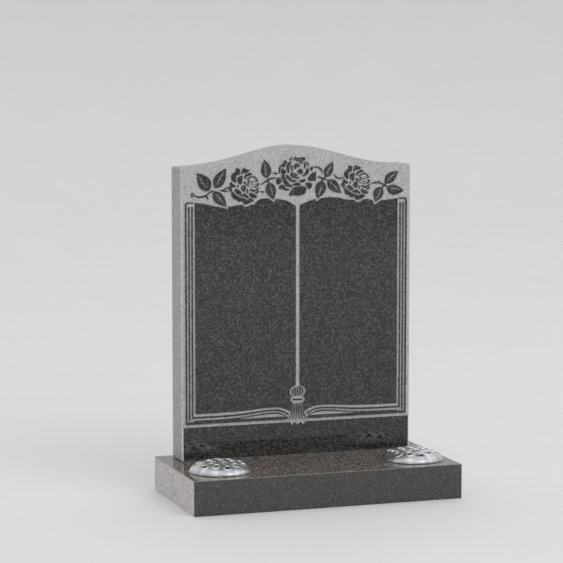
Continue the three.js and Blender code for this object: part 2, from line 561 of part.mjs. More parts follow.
// The sunk field lies above the plain band and under the tassel, wherever nothing is left raised
function tabletSolid() {
  const tassel = tasselGround();
  const sideRose = (place) => SIDE_ROSE.map((petal) => sideRoseAt(petal, place));
  const petals = [...CENTRE_ROSE, ...SIDE_ROSE_PLACES.flatMap(sideRose), ...SEPALS.map(sliverPoints)];
  const flowers = carvedOutlines([...petals, ...STEMS.map(stemPoints)]);
  const leaves = [...LEAVES_ABOVE, ...LEAVES_OVER_PAGES].map(leafSolid);
  const raised = joined([bookSolid(tassel), tasselDetail(), stemRing(), ...flowers, ...leaves]);
  const reach = TABLET_WIDTH;
  const top = TABLET_HEIGHT + reach;
  const field = shapeFrom([[-reach, BAND_HEIGHT], [reach, BAND_HEIGHT], [reach, top], [-reach, top]]);
  const sunk = facePrism(field, -2 * CUT_OVERRUN, FIELD_DEPTH);
  const sunkTassel = tassel.intersect(facePrism(tabletFace(), -2 * CUT_OVERRUN, FIELD_DEPTH));
  return tabletBlock().subtract(sunk.add(sunkTassel).subtract(raised));
}

// Block with its upper edges taken off, and a blind round well under each lid
function baseSolid() {
  const levels = [[0, 0], [0, BASE_HEIGHT - BASE_ARRIS], [BASE_ARRIS, BASE_HEIGHT]];
  const positions = [];
  for (const [inset, height] of levels) {
    const x = BASE_WIDTH / 2 - inset;
    const y = BASE_DEPTH / 2 - inset;
    positions.push(-x, -y, height, x, -y, height, x, y, height, -x, y, height);
  }
  const index = [0, 2, 1, 0, 3, 2, 8, 9, 10, 8, 10, 11];
  for (let level = 0; level < levels.length - 1; level += 1) {
    for (let i = 0; i < 4; i += 1) {
      const a = level * 4 + i;
      const b = level * 4 + ((i + 1) % 4);
      index.push(a, b, b + 4, a, b + 4, a + 4);
    }
  }
  const block = new THREE.BufferGeometry();
  block.setAttribute('position', new THREE.BufferAttribute(new Float32Array(positions), 3));
  block.setIndex(index);
  const wells = Object.values(WELL_PLACES).map((x) => {
    const well = new THREE.CylinderGeometry(WELL_RADIUS, WELL_RADIUS, WELL_DEPTH + CUT_OVERRUN, WELL_SIDES);
    well.rotateX(Math.PI / 2);
    well.translate(x, WELL_Y, BASE_HEIGHT + CUT_OVERRUN - (WELL_DEPTH + CUT_OVERRUN) / 2);
    return solidOf(well);
  });
  return solidOf(block).subtract(joined(wells));
}

// Height of the dome over its rim, by the share of its radius
function domeHeight(share, height) {
  return LID_LIP + (height - LID_LIP) * (1 - share ** 2) ** DOME_FULLNESS;
}

// Holes for flower stems on a triangular grid, one in the middle and rings round it
function stemHolePlaces() {
  const places = [];
  for (let i = -STEM_HOLE_RINGS; i <= STEM_HOLE_RINGS; i += 1) {
    for (let j = -STEM_HOLE_RINGS; j <= STEM_HOLE_RINGS; j += 1) {
      if (Math.abs(i + j) > STEM_HOLE_RINGS) continue;
      places.push([STEM_HOLE_PITCH * i * Math.sin(Math.PI / 3), STEM_HOLE_PITCH * (j + i / 2)]);
    }
  }
  return places;
}

// Thin domed shell, open underneath and pierced for the stems
function lidGeometry() {
  const innerRadius = LID_RADIUS - LID_WALL;
  const innerHeight = LID_HEIGHT - LID_WALL;
  const outer = [new THREE.Vector2(LID_RADIUS, 0)];
  const inner = [new THREE.Vector2(innerRadius, 0)];
  for (let i = 0; i <= LID_RINGS; i += 1) {
    const share = Math.cos((Math.PI / 2) * (i / LID_RINGS));
    outer.push(new THREE.Vector2(LID_RADIUS * share, domeHeight(share, LID_HEIGHT)));
    inner.push(new THREE.Vector2(innerRadius * share, domeHeight(share, innerHeight)));
  }
  const profile = [inner[0], ...outer, ...inner.reverse()];
  const dome = solidOf(new THREE.LatheGeometry(profile, LID_SIDES).rotateX(Math.PI / 2));
  const radius = STEM_HOLE_RADIUS;
  const holes = stemHolePlaces().map(([x, y]) => {
    const hole = new THREE.CylinderGeometry(radius, radius, 2 * LID_HEIGHT, STEM_HOLE_SIDES);
    hole.rotateX(Math.PI / 2);
    hole.translate(x, y, LID_HEIGHT);
    return solidOf(hole);
  });
  return geometryOf(dome.subtract(joined(holes)));
}

function piece(name, geometry, finish) {
  const mesh = new THREE.Mesh(geometry, new THREE.MeshStandardMaterial(finish));
  mesh.name = name;
  return mesh;
}

const memorial = new THREE.Group();
memorial.add(piece('base', geometryOf(baseSolid()), POLISHED_GRANITE));
memorial.add(piece('tablet', geometryOf(tabletSolid()), POLISHED_GRANITE));
for (const [side, x] of Object.entries(WELL_PLACES)) {
  const lid = piece(`flower_lid_${side}`, lidGeometry(), ALUMINIUM);
  lid.position.set(x, WELL_Y, BASE_HEIGHT);
  memorial.add(lid);
}

export default memorial;
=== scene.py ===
"""Granite lawn memorial: a carved upright tablet on a base whose two flower wells lie under pierced lids."""
import math

import bpy
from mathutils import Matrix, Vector
from mathutils.geometry import interpolate_bezier


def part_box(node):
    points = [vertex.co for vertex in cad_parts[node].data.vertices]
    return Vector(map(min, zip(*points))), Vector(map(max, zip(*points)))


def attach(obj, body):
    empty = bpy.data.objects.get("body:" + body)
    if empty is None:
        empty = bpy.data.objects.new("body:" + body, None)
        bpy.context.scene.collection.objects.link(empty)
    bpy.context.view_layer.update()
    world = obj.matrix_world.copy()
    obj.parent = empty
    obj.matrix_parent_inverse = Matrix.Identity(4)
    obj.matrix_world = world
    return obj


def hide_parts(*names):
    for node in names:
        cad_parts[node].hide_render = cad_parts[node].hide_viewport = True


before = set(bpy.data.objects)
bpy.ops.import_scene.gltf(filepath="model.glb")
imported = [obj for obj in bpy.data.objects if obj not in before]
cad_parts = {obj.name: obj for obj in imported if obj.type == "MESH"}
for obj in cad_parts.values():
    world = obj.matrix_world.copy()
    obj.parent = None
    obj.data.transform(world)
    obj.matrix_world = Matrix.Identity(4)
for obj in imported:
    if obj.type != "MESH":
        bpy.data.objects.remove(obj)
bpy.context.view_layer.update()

bl_info = {
    "name": "Granite lawn memorial",
    "version": (1, 0, 0),
    "blender": (4, 5, 0),
    "location": "View3D > Sidebar > Memorial",
    "description": "Carved tablet, base with flower wells, pierced lids and a plain studio",
    "category": "Add Mesh",
}

MM = 0.001

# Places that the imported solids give, in metres
TABLET_LOW, TABLET_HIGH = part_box("tablet")
BASE_LOW, BASE_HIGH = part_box("base")
LID_NODES = ("flower_lid_left", "flower_lid_right")
LID_BOXES = {node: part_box(node) for node in LID_NODES}
TABLET_HALF = TABLET_HIGH.x / MM
TABLET_HEIGHT = (TABLET_HIGH.z - TABLET_LOW.z) / MM
TABLET_THICKNESS = (TABLET_HIGH.y - TABLET_LOW.y) / MM
LID_HEIGHT = LID_BOXES[LID_NODES[0]][1].z - LID_BOXES[LID_NODES[0]][0].z

# The drawing on the tablet's face is in millimetres: x from the middle, z above the base
SHOULDER_HEIGHT = 646
OGEE_CROWN_HANDLE = 75
OGEE_SHOULDER_HANDLE = 127
OGEE_STEPS = 48
CUT_OVERRUN = 1

# Grid that divides the finished faces, in metres, its first line set off by a share of the pitch
FACE_GRID = 0.041
FACE_GRID_SHIFT = 0.1

# How square to a direction a face is that faces it, and how far it leans that counts as slanted
FACING = 0.99
SLANTED = 0.3

# Open book, distances from the spine
SPINE_HALF_WIDTH = 4.25
PAGE_EDGE = 237
PAGE_FOOT = 105.5
PAGE_LINE = {"inner": 241.5, "outer": 245, "foot": 95.5, "head": 561, "thickness": 4}
COVER_INNER_LINE = {"inner": 248.5, "outer": 252, "head": 561}
COVER = {
    "inner": 255.5, "outer": 259.5, "foot": 82.5, "shelf": 91,
    "head": 571, "return_end": 240, "thickness": 3,
}
COVER_CORNER = {"radius": 6, "steps": 8}
CORNER_GROOVE = {"end": 238, "foot": 88.3, "head": 90.8}
WAVE = {"crest": 58, "spread": 62, "fall": 36, "drop": 1.5, "power": 2.4}
WAVE_LIFT = {"page": 5.5, "line_top": 7, "line_foot": 7.5, "shelf": 9, "groove_top": 7.5, "groove_foot": 0.8}
PAGE_GROOVE = {"tip": 135, "end": 28, "foot": 89, "tip_thickness": 0.3, "end_thickness": 1}
LINE_STEPS = 40
LINE_CROWDING = 1.5

# Upper edge of each page, from its outer corner to the spine
PAGE_HEADS = {
    -1: [
        (237, 570), (205, 564.5), (185, 560), (160, 559.5), (138, 562.5), (128, 563), (104, 562.5),
        (97, 568.5), (90, 573), (79, 576), (50, 574), (31, 571.5), (13, 563.5), (4.25, 557),
    ],
    1: [
        (237, 570), (200, 566), (178, 566.5), (160, 569.5), (130, 568.5), (110, 570), (97, 573.5),
        (74, 575.5), (42, 572), (28, 568.5), (10, 561.5), (4.25, 557),
    ],
}

# Tassel that hangs from the spine cord
KNOB = {"height": 144.5, "half_width": 18.5, "half_height": 14}
GORE = {"count": 5, "half_height": 11, "pitch": 6.2, "half_width": 1.8, "gather": 0.35, "bluntness": 0.8}
COLLAR = {"half_width": 17, "foot": 120, "head": 131, "round": 4}
COLLAR_SLOT = {"half_width": 11, "foot": 124.7, "head": 128}
SKIRT = {"head": 121, "hem": 80, "head_half": 12.5, "hem_half": 21}
SKIRT_FLARE = [(13.2, 112), (15, 103), (18, 94), (22.5, 86), (24.5, 82.5)]
HEM = {"points": 3, "pitch": 14, "point_height": 69, "notch_height": 76}
STRAND = {"count": 6, "width": 3}
STRAND_WAY = [(4.2, 118.5), (4.6, 106), (5.8, 94), (8.2, 81)]
ROUND_SIDES = 64

# Margin of sunk field kept round the leaves where they lie over the pages
HALO = 4

# Roses: the outline of each petal's polished face, how far its corners are rounded off and its edges swell
PETAL_ROUNDING = 0.18
PETAL_ROUNDS = 2
PETAL_SWELL = 0.5
CENTRE_ROSE = [
    [(-18.5, 658.5), (-16, 665.5), (-14.5, 666.5), (-13, 664.5), (-14.5, 661), (-16, 658)],
    [(-10.5, 658.5), (-9.5, 662.5), (-6, 666.5), (-4, 666), (-0.5, 662), (-4.5, 659.5)],
    [(-1.5, 663), (3.5, 663.5), (10, 664.5), (15.5, 663.5), (18, 662), (16.5, 659), (14, 657), (12, 658),
     (11, 660), (8.5, 662), (3.5, 662), (-0.5, 661.5)],
    [(-4, 658.5), (0, 659.5), (5.5, 659.5), (9.5, 658.5), (10.5, 656), (8.5, 655.5), (6.5, 657),
     (3.5, 657.5), (-0.5, 657), (-4, 657.5)],
    [(2, 654.5), (5.5, 655), (8, 654), (10, 651.5), (10.5, 649), (9, 650), (6.5, 652.5), (3.5, 652.5)],
    [(-9.5, 644), (-8, 647.5), (-5.5, 650.5), (-2.5, 651.5), (0.5, 650.5), (3.5, 648.5), (5, 646.5),
     (3.5, 644.5), (-0.5, 643.5), (-5.5, 643.5), (-4, 640.5), (-4.5, 639.5), (-6.5, 639.5),
     (-8.5, 641.5)],
    [(-1.5, 634.5), (1.5, 635.5), (4, 638.5), (6.5, 639.5), (9.5, 638), (11.5, 634.5), (12.5, 632),
     (11.5, 629.5), (8.5, 627.5), (6, 628), (2.5, 630.5), (-1, 632)],
    [(12, 654), (14, 654), (16.5, 652), (18.5, 650), (19.5, 646.5), (17.5, 643.5), (16.5, 640),
     (15, 640.5), (15, 645.5), (15.5, 649.5), (14.5, 652)],
    [(18.5, 655.5), (20.5, 655), (23.5, 652), (26, 648), (26, 645.5), (24.5, 644.5), (24, 647.5),
     (22, 651.5)],
    [(-15.5, 648.5), (-13.5, 649.5), (-13.5, 645.5), (-12.5, 641.5), (-11, 635.5), (-11.5, 633.5),
     (-13, 633.5), (-14.5, 637.5), (-16, 643)],
    [(-23.5, 651.5), (-21.5, 653), (-14.5, 655), (-14, 653.5), (-17.5, 651.5), (-19, 648.5),
     (-19.5, 643.5), (-20, 637.5), (-20.5, 631.5), (-21.5, 630), (-23.5, 632.5), (-24.5, 636.5),
     (-26.5, 640.5), (-25, 648)],
    [(-36.5, 648.5), (-33, 654), (-31.5, 657.5), (-29.5, 659.5), (-24.5, 654.5), (-28.5, 649),
     (-31.5, 643.5), (-33.5, 643.5), (-34.5, 645.5)],
    [(-44, 638.5), (-43.5, 644), (-41, 647), (-36, 648.5), (-34, 645.5), (-38, 645), (-40, 643.5),
     (-40.5, 639.5), (-42, 629.5), (-43.5, 629.5)],
    [(-38.5, 632), (-37.5, 638), (-35.5, 642), (-33, 639.5), (-30, 636.5), (-27.5, 632.5),
     (-28.5, 629.5), (-32.5, 628.5), (-37.5, 628.5)],
    [(-36.5, 627.5), (-32, 627.5), (-31, 625.5), (-30.5, 621.5), (-28.5, 617.5), (-25.5, 612.5),
     (-21.5, 608.5), (-17.5, 605.5), (-11.5, 601.5), (-12, 600), (-21.5, 600), (-25.5, 601.5),
     (-29.5, 604.5), (-31.5, 609), (-34.5, 613.5), (-36.5, 618), (-37.5, 622.5)],
    [(-27, 626.5), (-23.5, 626), (-19.5, 622), (-16, 618.5), (-12, 615.5), (-7.5, 614), (-2, 614.5),
     (-3.5, 612.5), (-7.5, 610.5), (-12.5, 610.5), (-17.5, 612.5), (-21.5, 616.5), (-25.5, 619.5),
     (-27.5, 622)],
    [(-16, 630.5), (-14.5, 631.5), (-12, 628.5), (-9.5, 624.5), (-4.5, 622.5), (5.5, 620), (3.5, 618.5),
     (-2, 618), (-7.5, 619), (-12, 621), (-15.5, 623.5), (-16.5, 626.5)],
    [(-10, 630.5), (-7.5, 630.5), (-4, 628.5), (1.5, 624.5), (-2, 624.5), (-6, 625.5), (-9, 627.5)],
    [(11.5, 624), (16.5, 628.5), (18, 632), (19.5, 636), (21.5, 640), (24, 639.5), (26, 636),
     (25.5, 632), (23.5, 628.5), (20, 626), (16.5, 623.5), (14, 622), (12, 622.5)],
    [(27.5, 638.5), (29.5, 641.5), (33.5, 643.5), (35.5, 642.5), (35, 638.5), (32.5, 634), (31, 634.5),
     (30.5, 637.5)],
    [(24, 618.5), (25.5, 621.5), (29.5, 625.5), (34, 629.5), (38.5, 630.5), (44, 632.5), (42.5, 628.5),
     (42.5, 617.5), (40.5, 612.5), (32, 612.5), (27.5, 611.5), (25.5, 614.5)],
    [(2.5, 613), (5.5, 614.5), (8.5, 614.5), (14.5, 617), (18.5, 616), (16.5, 612), (13.5, 610),
     (10, 609), (6.5, 610.5)],
    [(-13, 605.5), (-7.5, 606.5), (-3.5, 608.5), (0.5, 609), (4, 607.5), (8, 605), (4.5, 603.5),
     (-4, 602.5), (-8.5, 603)],
    [(17.5, 607.5), (22, 608), (27.5, 608.5), (31.5, 606.5), (34.5, 604.5), (33, 601.5), (31, 596.5),
     (28.5, 594.5), (26.5, 594.5), (23.5, 598), (20.5, 601.5)],
    [(-20, 583.5), (-19.5, 586.5), (-16, 591.5), (-12, 596), (-9.5, 598.5), (-3.5, 599.5), (8, 601),
     (14, 601), (17.5, 599.5), (20.5, 596.5), (18.5, 590.5), (17.5, 586), (14, 583.5), (8.5, 581.5),
     (2, 580.5), (-4, 580.5), (-8.5, 581.5), (-11.5, 582.5), (-15.5, 580.5), (-18, 580.5)],
    [(-44, 598), (-43.5, 601.5), (-40.5, 604), (-37.5, 605), (-34, 604.5), (-31.5, 602), (-29.5, 598.5),
     (-25.5, 596), (-18.5, 594.5), (-21.5, 592.5), (-25.5, 592), (-29.5, 592.5), (-32, 594.5),
     (-36, 596), (-42.5, 596.5)],
    [(-50, 612), (-48.5, 618.5), (-46, 621.5), (-43.5, 621.5), (-40, 619.5), (-39.5, 615.5),
     (-37, 610.5), (-42.5, 608.5), (-44, 606), (-46, 605.5), (-48, 608)],
]

# The side rose as it stands on the right, and again on the left, a little larger
SIDE_ROSE_MIDDLE = (136.5, 605)
SIDE_ROSE_PLACES = [(136.5, 605, 1), (-125.3, 602, 1.03)]
SIDE_ROSE = [
    [(118.5, 640), (120.5, 645), (122, 644.5), (127.5, 643), (128.5, 640), (127.5, 635.5), (127, 631),
     (120.5, 631), (120, 635.5)],
    [(130.5, 631.5), (131, 635), (132.5, 639), (135, 642), (135.5, 645.5), (138.5, 644), (141.5, 642),
     (149, 641), (148, 638), (145, 635.5), (136, 634.5), (133.5, 633.5)],
    [(109, 628.5), (110.5, 632), (113.5, 634.5), (117.5, 636), (120, 634.5), (120.5, 629.5),
     (118.5, 624), (120, 619), (119, 616.5), (117, 614.5), (114.5, 616.5), (110.5, 619.5), (109, 624)],
    [(122.5, 624), (125, 626), (132.5, 629), (134.5, 627.5), (134, 622.5), (132.5, 618), (132, 613),
     (131, 610), (128, 611.5), (124, 614.5), (123, 616.5), (123.5, 619.5)],
    [(138, 622.5), (138.5, 627.5), (140.5, 631), (144.5, 632), (148.5, 634.5), (151, 635), (155, 632),
     (155.5, 630.5), (151, 630), (146, 629), (142.5, 626), (140.5, 622.5)],
    [(143.5, 621.5), (147, 624.5), (151, 625.5), (154.5, 627.5), (160, 627.5), (163.5, 625), (168, 619),
     (168, 616), (165.5, 616.5), (165, 620), (161.5, 624.5), (158, 625.5), (153.5, 625), (148.5, 622.5),
     (145, 620)],
    [(153.5, 615), (155, 616.5), (157, 616.5), (158.5, 615), (157, 613.5), (155, 613.5)],
    [(145.5, 615.5), (146, 618), (148.5, 619), (151, 618), (148.5, 614), (150.5, 611.5), (148.5, 611.5)],
    [(135.5, 616), (138.5, 616.5), (140.5, 614.5), (145.5, 609), (149, 607.5), (148, 605.5),
     (144.5, 608), (137, 614)],
    [(130, 601), (132, 605.5), (135, 609), (138.5, 608.5), (142, 604.5), (140, 596.5), (138, 595),
     (134.5, 596)],
    [(143.5, 595), (144, 599), (146, 600), (146.5, 597.5), (145.5, 591.5), (144.5, 592)],
    [(166, 611.5), (168.5, 612.5), (171, 611.5), (169, 606.5), (165.5, 605), (161.5, 603), (162, 605),
     (166, 607.5)],
    [(150.5, 599.5), (153.5, 600), (157, 598), (161, 598), (164.5, 599.5), (168, 602.5), (170.5, 603),
     (170, 600), (165.5, 596.5), (161.5, 595), (158, 595), (151, 597.5)],
    [(161.5, 591), (164.5, 593), (167, 595.5), (170, 596.5), (170, 593), (167, 591.5)],
    [(106, 611), (107, 614), (109, 615.5), (111, 613), (114.5, 609.5), (117.5, 608.5), (118.5, 606.5),
     (117, 604.5), (110.5, 605.5)],
    [(102, 602.5), (103.5, 605.5), (106, 607.5), (109, 606), (110.5, 601.5), (110, 597.5), (108.5, 595),
     (107, 595.5)],
    [(121.5, 606), (122.5, 609), (125, 609.5), (125, 606), (124, 604.5)],
    [(116, 597.5), (117, 600), (120, 601.5), (123.5, 599.5), (127.5, 597.5), (130.5, 594), (132, 591),
     (128.5, 589.5), (124.5, 589.5), (121, 591)],
    [(109, 589), (110.5, 596), (113.5, 594), (117, 590), (121, 586.5), (125.5, 584.5), (130, 581.5),
     (131, 575), (126, 574), (123.5, 576), (120, 579), (115, 580), (111.5, 583)],
    [(129.5, 581.5), (136, 580.5), (140.5, 579), (144, 576.5), (147, 578.5), (150.5, 580.5),
     (154, 579.5), (157.5, 577.5), (158.5, 575), (154.5, 574), (151, 571), (147, 570), (142.5, 568),
     (138.5, 568), (135.5, 572), (134, 575), (130, 575.5)],
    [(127.5, 587.5), (133.5, 589), (138, 591.5), (141.5, 589.5), (145, 586.5), (148, 583), (147, 581.5),
     (144, 582), (139, 584), (131.5, 584.5)],
    [(148, 588.5), (150, 592), (152.5, 592), (161.5, 588.5), (167, 584), (164, 581.5), (155.5, 581.5),
     (152, 584.5)],
]

# Thin polished lines between the innermost petals of a side rose
SIDE_ROSE_LINE_WIDTH = 1.3
SIDE_ROSE_LINES = [
    [(152.5, 611.5), (155.5, 609), (160, 609), (163, 611.5)],
    [(151, 606), (155.5, 603.5), (160, 604.5)],
    [(160.5, 619.5), (163, 616.5), (163.5, 613.5)],
]

# Edge of the sunk field under a side rose, where it lies over the page
SIDE_ROSE_MARGIN = [
    (104, 582), (110, 579), (116, 576.5), (121, 574), (125, 571.5), (131.5, 571), (134, 566.5),
    (137, 564), (141.5, 562.5), (147.5, 564), (152.5, 567.5), (158, 571), (164, 577), (168, 583),
    (140, 600), (110, 594),
]

# Sepals, each between two tips: tip x, z, tip x, z, bulge of one edge, bulge of the other, bluntness.
# Bulges are measured to the left of the way from the first tip to the second.
SEPALS = [(-180, 595.5, -160.5, 592.5, 2, -1.6, 0.6), (-173, 597.5, -161.5, 602, 0.6, -2.4, 0.6)]
SLIVER_STEPS = 14

# Leaves: foot x, z, tip x, z, breadth to the left and to the right of the way from foot to tip
LEAVES_ABOVE = [
    (-204, 595.5, -231.5, 634, 13.5, 15.5), (-191, 601, -165.5, 643, 12.8, 12.5),
    (-71.5, 621, -77.5, 661, 11.5, 12.5), (65, 620, 82.5, 653.5, 10.5, 10),
    (70.5, 613.5, 101.5, 584, 11.5, 11.5), (207, 604, 238.5, 630.5, 12.5, 9.5),
    (211, 593.5, 252, 586.5, 9.5, 13.5),
]
LEAVES_OVER_PAGES = [
    (-194.5, 592.5, -164.5, 559.5, 11, 12), (-66.5, 610, -56.5, 573, 11.5, 12.3),
    (58, 611.5, 46, 573, 13.2, 12.5), (198.5, 595, 183, 562, 10.2, 13.5),
]
LEAF = {"fullness": 0.75, "bluntness": 0.9, "teeth": 8, "tooth_steps": 3, "tooth": 0.1, "tip_margin": 1.6}
LEAF_RIB = {"foot": 0.12, "head": 0.88, "bend": 0.12, "width": 2.2}
LEAF_VEINS = {"count": 3, "spacing": 0.2, "reach": 0.55, "start": 0.08, "lean": 0.17, "width": 1.0}

# Stems: the points that each one runs through
STEM_WIDTH = 3.8
STEM_TAPER = 0.5
STEM_STEPS = 14
STEMS = [
    [(-198, 595.5), (-207, 588), (-215, 583), (-229, 582), (-239, 586.5)],
    [(-212, 584), (-208, 579.5), (-205.5, 577)],
    [(-202, 592), (-197.5, 593.5), (-193, 594)],
    [(-86.5, 606), (-74, 613), (-62.5, 619), (-50, 620.5)],
    [(-70, 622), (-68.5, 613), (-67.5, 607)],
    [(-57, 630.5), (-46, 630.3)],
    [(-86, 591.3), (-77, 589.3)],
    [(46.5, 620.5), (52.5, 619.8), (60, 616), (70, 613.5)],
    [(37.5, 642.7), (44, 643), (51, 640.3), (55.5, 636), (58, 629.5)],
    [(60, 616.5), (66, 622)],
    [(57.5, 616), (57.5, 608)],
    [(84.5, 626), (90, 620), (96.5, 617), (108, 618.8)],
    [(174, 604), (184, 606), (194, 604.8), (205.5, 600.5)],
    [(192.5, 606), (192.5, 610)],
    [(199.5, 594), (205.5, 599), (213, 595.5)],
    [(206.5, 600), (208, 606)],
]
STEM_RING = {"x": -242.5, "z": 587, "half_width": 3.4, "half_height": 5, "bore": 0.5}

# Small chip in the left end of the base, in metres
END_PIT = Vector((BASE_LOW.x, 0.008, 0.0155))
END_PIT_RADIUS = 0.0032
WELL_SIDES = 96

# Lid: a hexagon of metal round each stem hole, with the hole's rim raised, as radius and lift in metres
HOLE_SIDES = 36
HOLE_RINGS = 2
HOLE_RIM = [
    (0.0060, -0.0009), (0.0062, 0.0002), (0.0068, 0.0010),
    (0.0076, 0.0012), (0.0085, 0.0008), (0.0096, 0.0),
]
LID_SKIRT_STEPS = 9
LID_FLANGE = [
    (0.0674, 0.0026), (0.0684, 0.0025), (0.0690, 0.0020), (0.0689, 0.0013), (0.0680, 0.0009), (0.0676, 0.0),
]

# Finishes: place and brightness of each tone of the grain, from the darkest mineral to the palest
DARK_GRAIN = [(0.0, 0.15), (0.35, 0.5), (0.75, 1.35), (1.0, 3.2)]
EVEN_GRAIN = [(0.0, 0.5), (0.4, 0.8), (0.75, 1.15), (1.0, 1.8)]
BRUISED_GRAIN = [(0.0, 0.74), (0.5, 1.0), (1.0, 1.2)]
SAWN_GRAIN = [(0.0, 0.62), (0.4, 0.98), (1.0, 1.34)]
BASE_GRAIN = 0.75
FINISHES = {}

# Grain: sizes are counts to a grain, apart from the clouds, which are counted to a metre
UNIT = (0.0, 1.0)
GRAIN_WANDER = {"scale": 0.8, "reach": 0.9}
FLECK = {"scale": 0.55, "range": (0.9, 0.96), "brightness": 3.2}
CLOUD = {"scale": 26.0, "range": (0.42, 0.68)}
WARM_CLOUD = {"share": 0.5, "tint": (1.12, 0.96, 0.84, 1)}
DULL_CLOUD = {"share": 0.25, "tint": (0.97, 0.92, 0.87, 1)}
PITS = {"scale": 2.4, "range": (0.3, 0.7), "tones": (0.82, 1.14), "strength": 0.6}
POLISH_ROUGHNESS = (0.04, 0.09)

# Spun metal: rings are counted to a metre, smears too, and the painted reflection streaks to a lid's unit
# circle
SPIN = "spin_radius"
SPIN_WAY = "spin_way"
RINGS = {"per_metre": 2600.0, "depth": 0.0003, "strength": 0.12}
SMEARS = {"scale": 45.0, "range": (0.35, 0.7), "tones": (0.86, 1.0)}
# Painted reflection: radial light and dark streaks in the lids' colour
PAINTED_REFLECTION = {"scale": 2.6, "range": (0.4, 0.6), "tones": (0.62, 1.0)}
METAL_ROUGHNESS = {"range": (0.3, 0.75), "spread": (0.3, 0.42)}
SMOOTH_ANGLE = 35

# Studio
FLOOR_SIDES = 128
FLOOR_ROUGHNESS = 0.7
FLOOR_MOTTLE = {"scale": 3.0, "range": (0.3, 0.7), "tones": (0.985, 1.0)}
BACKDROP_BEND = 3.0
BACKDROP_TURN = math.radians(75)
BACKDROP_STEPS = 12
SKY_COLOUR = (0.98, 0.99, 1.0)
LIGHT_TARGET = (0, 0, 0.4)
KEY_PLACE = (2.2, -5.2, 4.4)
KEY_SIZE = 4.0

# The photograph's viewpoint, in metres and degrees
CAMERA_PLACE = (-1.6052, -4.5142, 0.9788)
CAMERA_YAW = 18.907
CAMERA_PITCH = -6.037
CAMERA_LENS = 140.86
SENSOR_WIDTH = 36


def length_property(name, description, default):
    """A size in metres that the sidebar shows."""
    return bpy.props.FloatProperty(
        name=name, description=description, default=default, min=0.0, precision=4, unit="LENGTH")


def colour_property(name, description, default):
    """A linear colour that the sidebar shows."""
    return bpy.props.FloatVectorProperty(
        name=name, description=description, default=default, min=0.0, max=1.0, size=3, subtype="COLOR")


class MemorialSizes(bpy.types.PropertyGroup):
    """Sizes of the stone and the lids."""

    field_depth: length_property("Field depth", "Depth of the blasted field below the polished face", 0.002)
    band_height: length_property("Band height", "Plain polished band under the book", 0.076)
    tablet_chamfer: length_property("Tablet chamfer", "Chamfer on the tablet's upright edges", 0.003)
    base_arris: length_property("Base arris", "Chamfer on the base's upper edges", 0.001)
    well_radius: length_property("Well radius", "Radius of each flower well", 0.057)
    well_depth: length_property("Well depth", "Depth of each flower well", 0.062)
    hole_pitch: length_property("Hole pitch", "Distance between the stem holes of a lid", 0.025)
    lid_wall: length_property("Lid wall", "Thickness of the spun metal", 0.0022)
    dome_fullness: bpy.props.FloatProperty(
        name="Dome fullness", description="Exponent of the dome's profile, smaller is fuller",
        default=0.53, min=0.3, max=1.0, subtype="FACTOR")
    grain_size: length_property("Grain size", "Width of the granite's grains", 0.0026)


class MemorialColours(bpy.types.PropertyGroup):
    """Colours of the finishes."""

    polished: colour_property("Polished tablet", "Middle tone of the tablet's face", (0.032, 0.0305, 0.0285))
    base_front: colour_property("Base front", "The base's polished front", (0.057, 0.055, 0.0525))
    # The base top's colour is lighter than the front's: painted light from the sky above and its reflection.
    base_top: colour_property("Base top", "The base's polished top, lightened with painted sky light", (0.137, 0.125, 0.115))
    blasted: colour_property("Blasted granite", "Pale bruised stone of the field", (0.48, 0.468, 0.463))
    sawn: colour_property("Sawn granite", "Matt stone of the tablet's sides and back", (0.40, 0.388, 0.388))
    base_sawn: colour_property("Sawn base", "Matt stone of the base's ends and back", (0.55, 0.527, 0.52))
    # The tablet's arris colour is paler than the stone beside it: a painted highlight along the chamfer.
    arris: colour_property("Arris", "Edges of the tablet, pale with a painted highlight", (0.71, 0.695, 0.69))
    base_arris: colour_property("Base arris", "Eased upper edges of the base", (0.2, 0.19, 0.18))
    metal: colour_property("Aluminium", "Polished metal of the lids", (0.84, 0.84, 0.865))
    floor: colour_property("Floor", "Pale studio floor", (0.74, 0.735, 0.725))


class MemorialStage(bpy.types.PropertyGroup):
    """Studio light and floor."""

    horizon: bpy.props.FloatProperty(
        name="Horizon", description="Brightness of the light from the sides", default=0.4, min=0.0)
    zenith: bpy.props.FloatProperty(
        name="Zenith", description="Brightness of the light from straight above", default=1.15, min=0.0)
    key: bpy.props.FloatProperty(
        name="Key", description="Power of the soft light in front", default=100.0, min=0.0, unit="POWER")
    floor_radius: length_property("Floor radius", "Flat part of the studio floor", 8.0)


def deselect_all():
    """Leaves object mode with nothing selected."""
    if bpy.context.object and bpy.context.object.mode != "OBJECT":
        bpy.ops.object.mode_set(mode="OBJECT")
    bpy.ops.object.select_all(action="DESELECT")


def activate(piece):
    """Makes one object the only selected and active one."""
    deselect_all()
    piece.select_set(True)
    bpy.context.view_layer.objects.active = piece


def joined(pieces):
    """Joins objects into the first of them."""
    deselect_all()
    for piece in pieces:
        piece.select_set(True)
    bpy.context.view_layer.objects.active = pieces[0]
    if len(pieces) > 1:
        bpy.ops.object.join()
    return pieces[0]


def cut(piece, tool):
    """Takes one object out of another, overlapping parts of either counting once."""
    activate(piece)
    modifier = piece.modifiers.new("cut", "BOOLEAN")
    modifier.operation = "DIFFERENCE"
    modifier.solver = "EXACT"
    modifier.use_self = True
    modifier.object = tool
    bpy.ops.object.modifier_apply(modifier=modifier.name)
    bpy.data.objects.remove(tool)
    if not piece.data.polygons:
        raise RuntimeError(f"nothing is left of {piece.name} after a cut")
    return piece


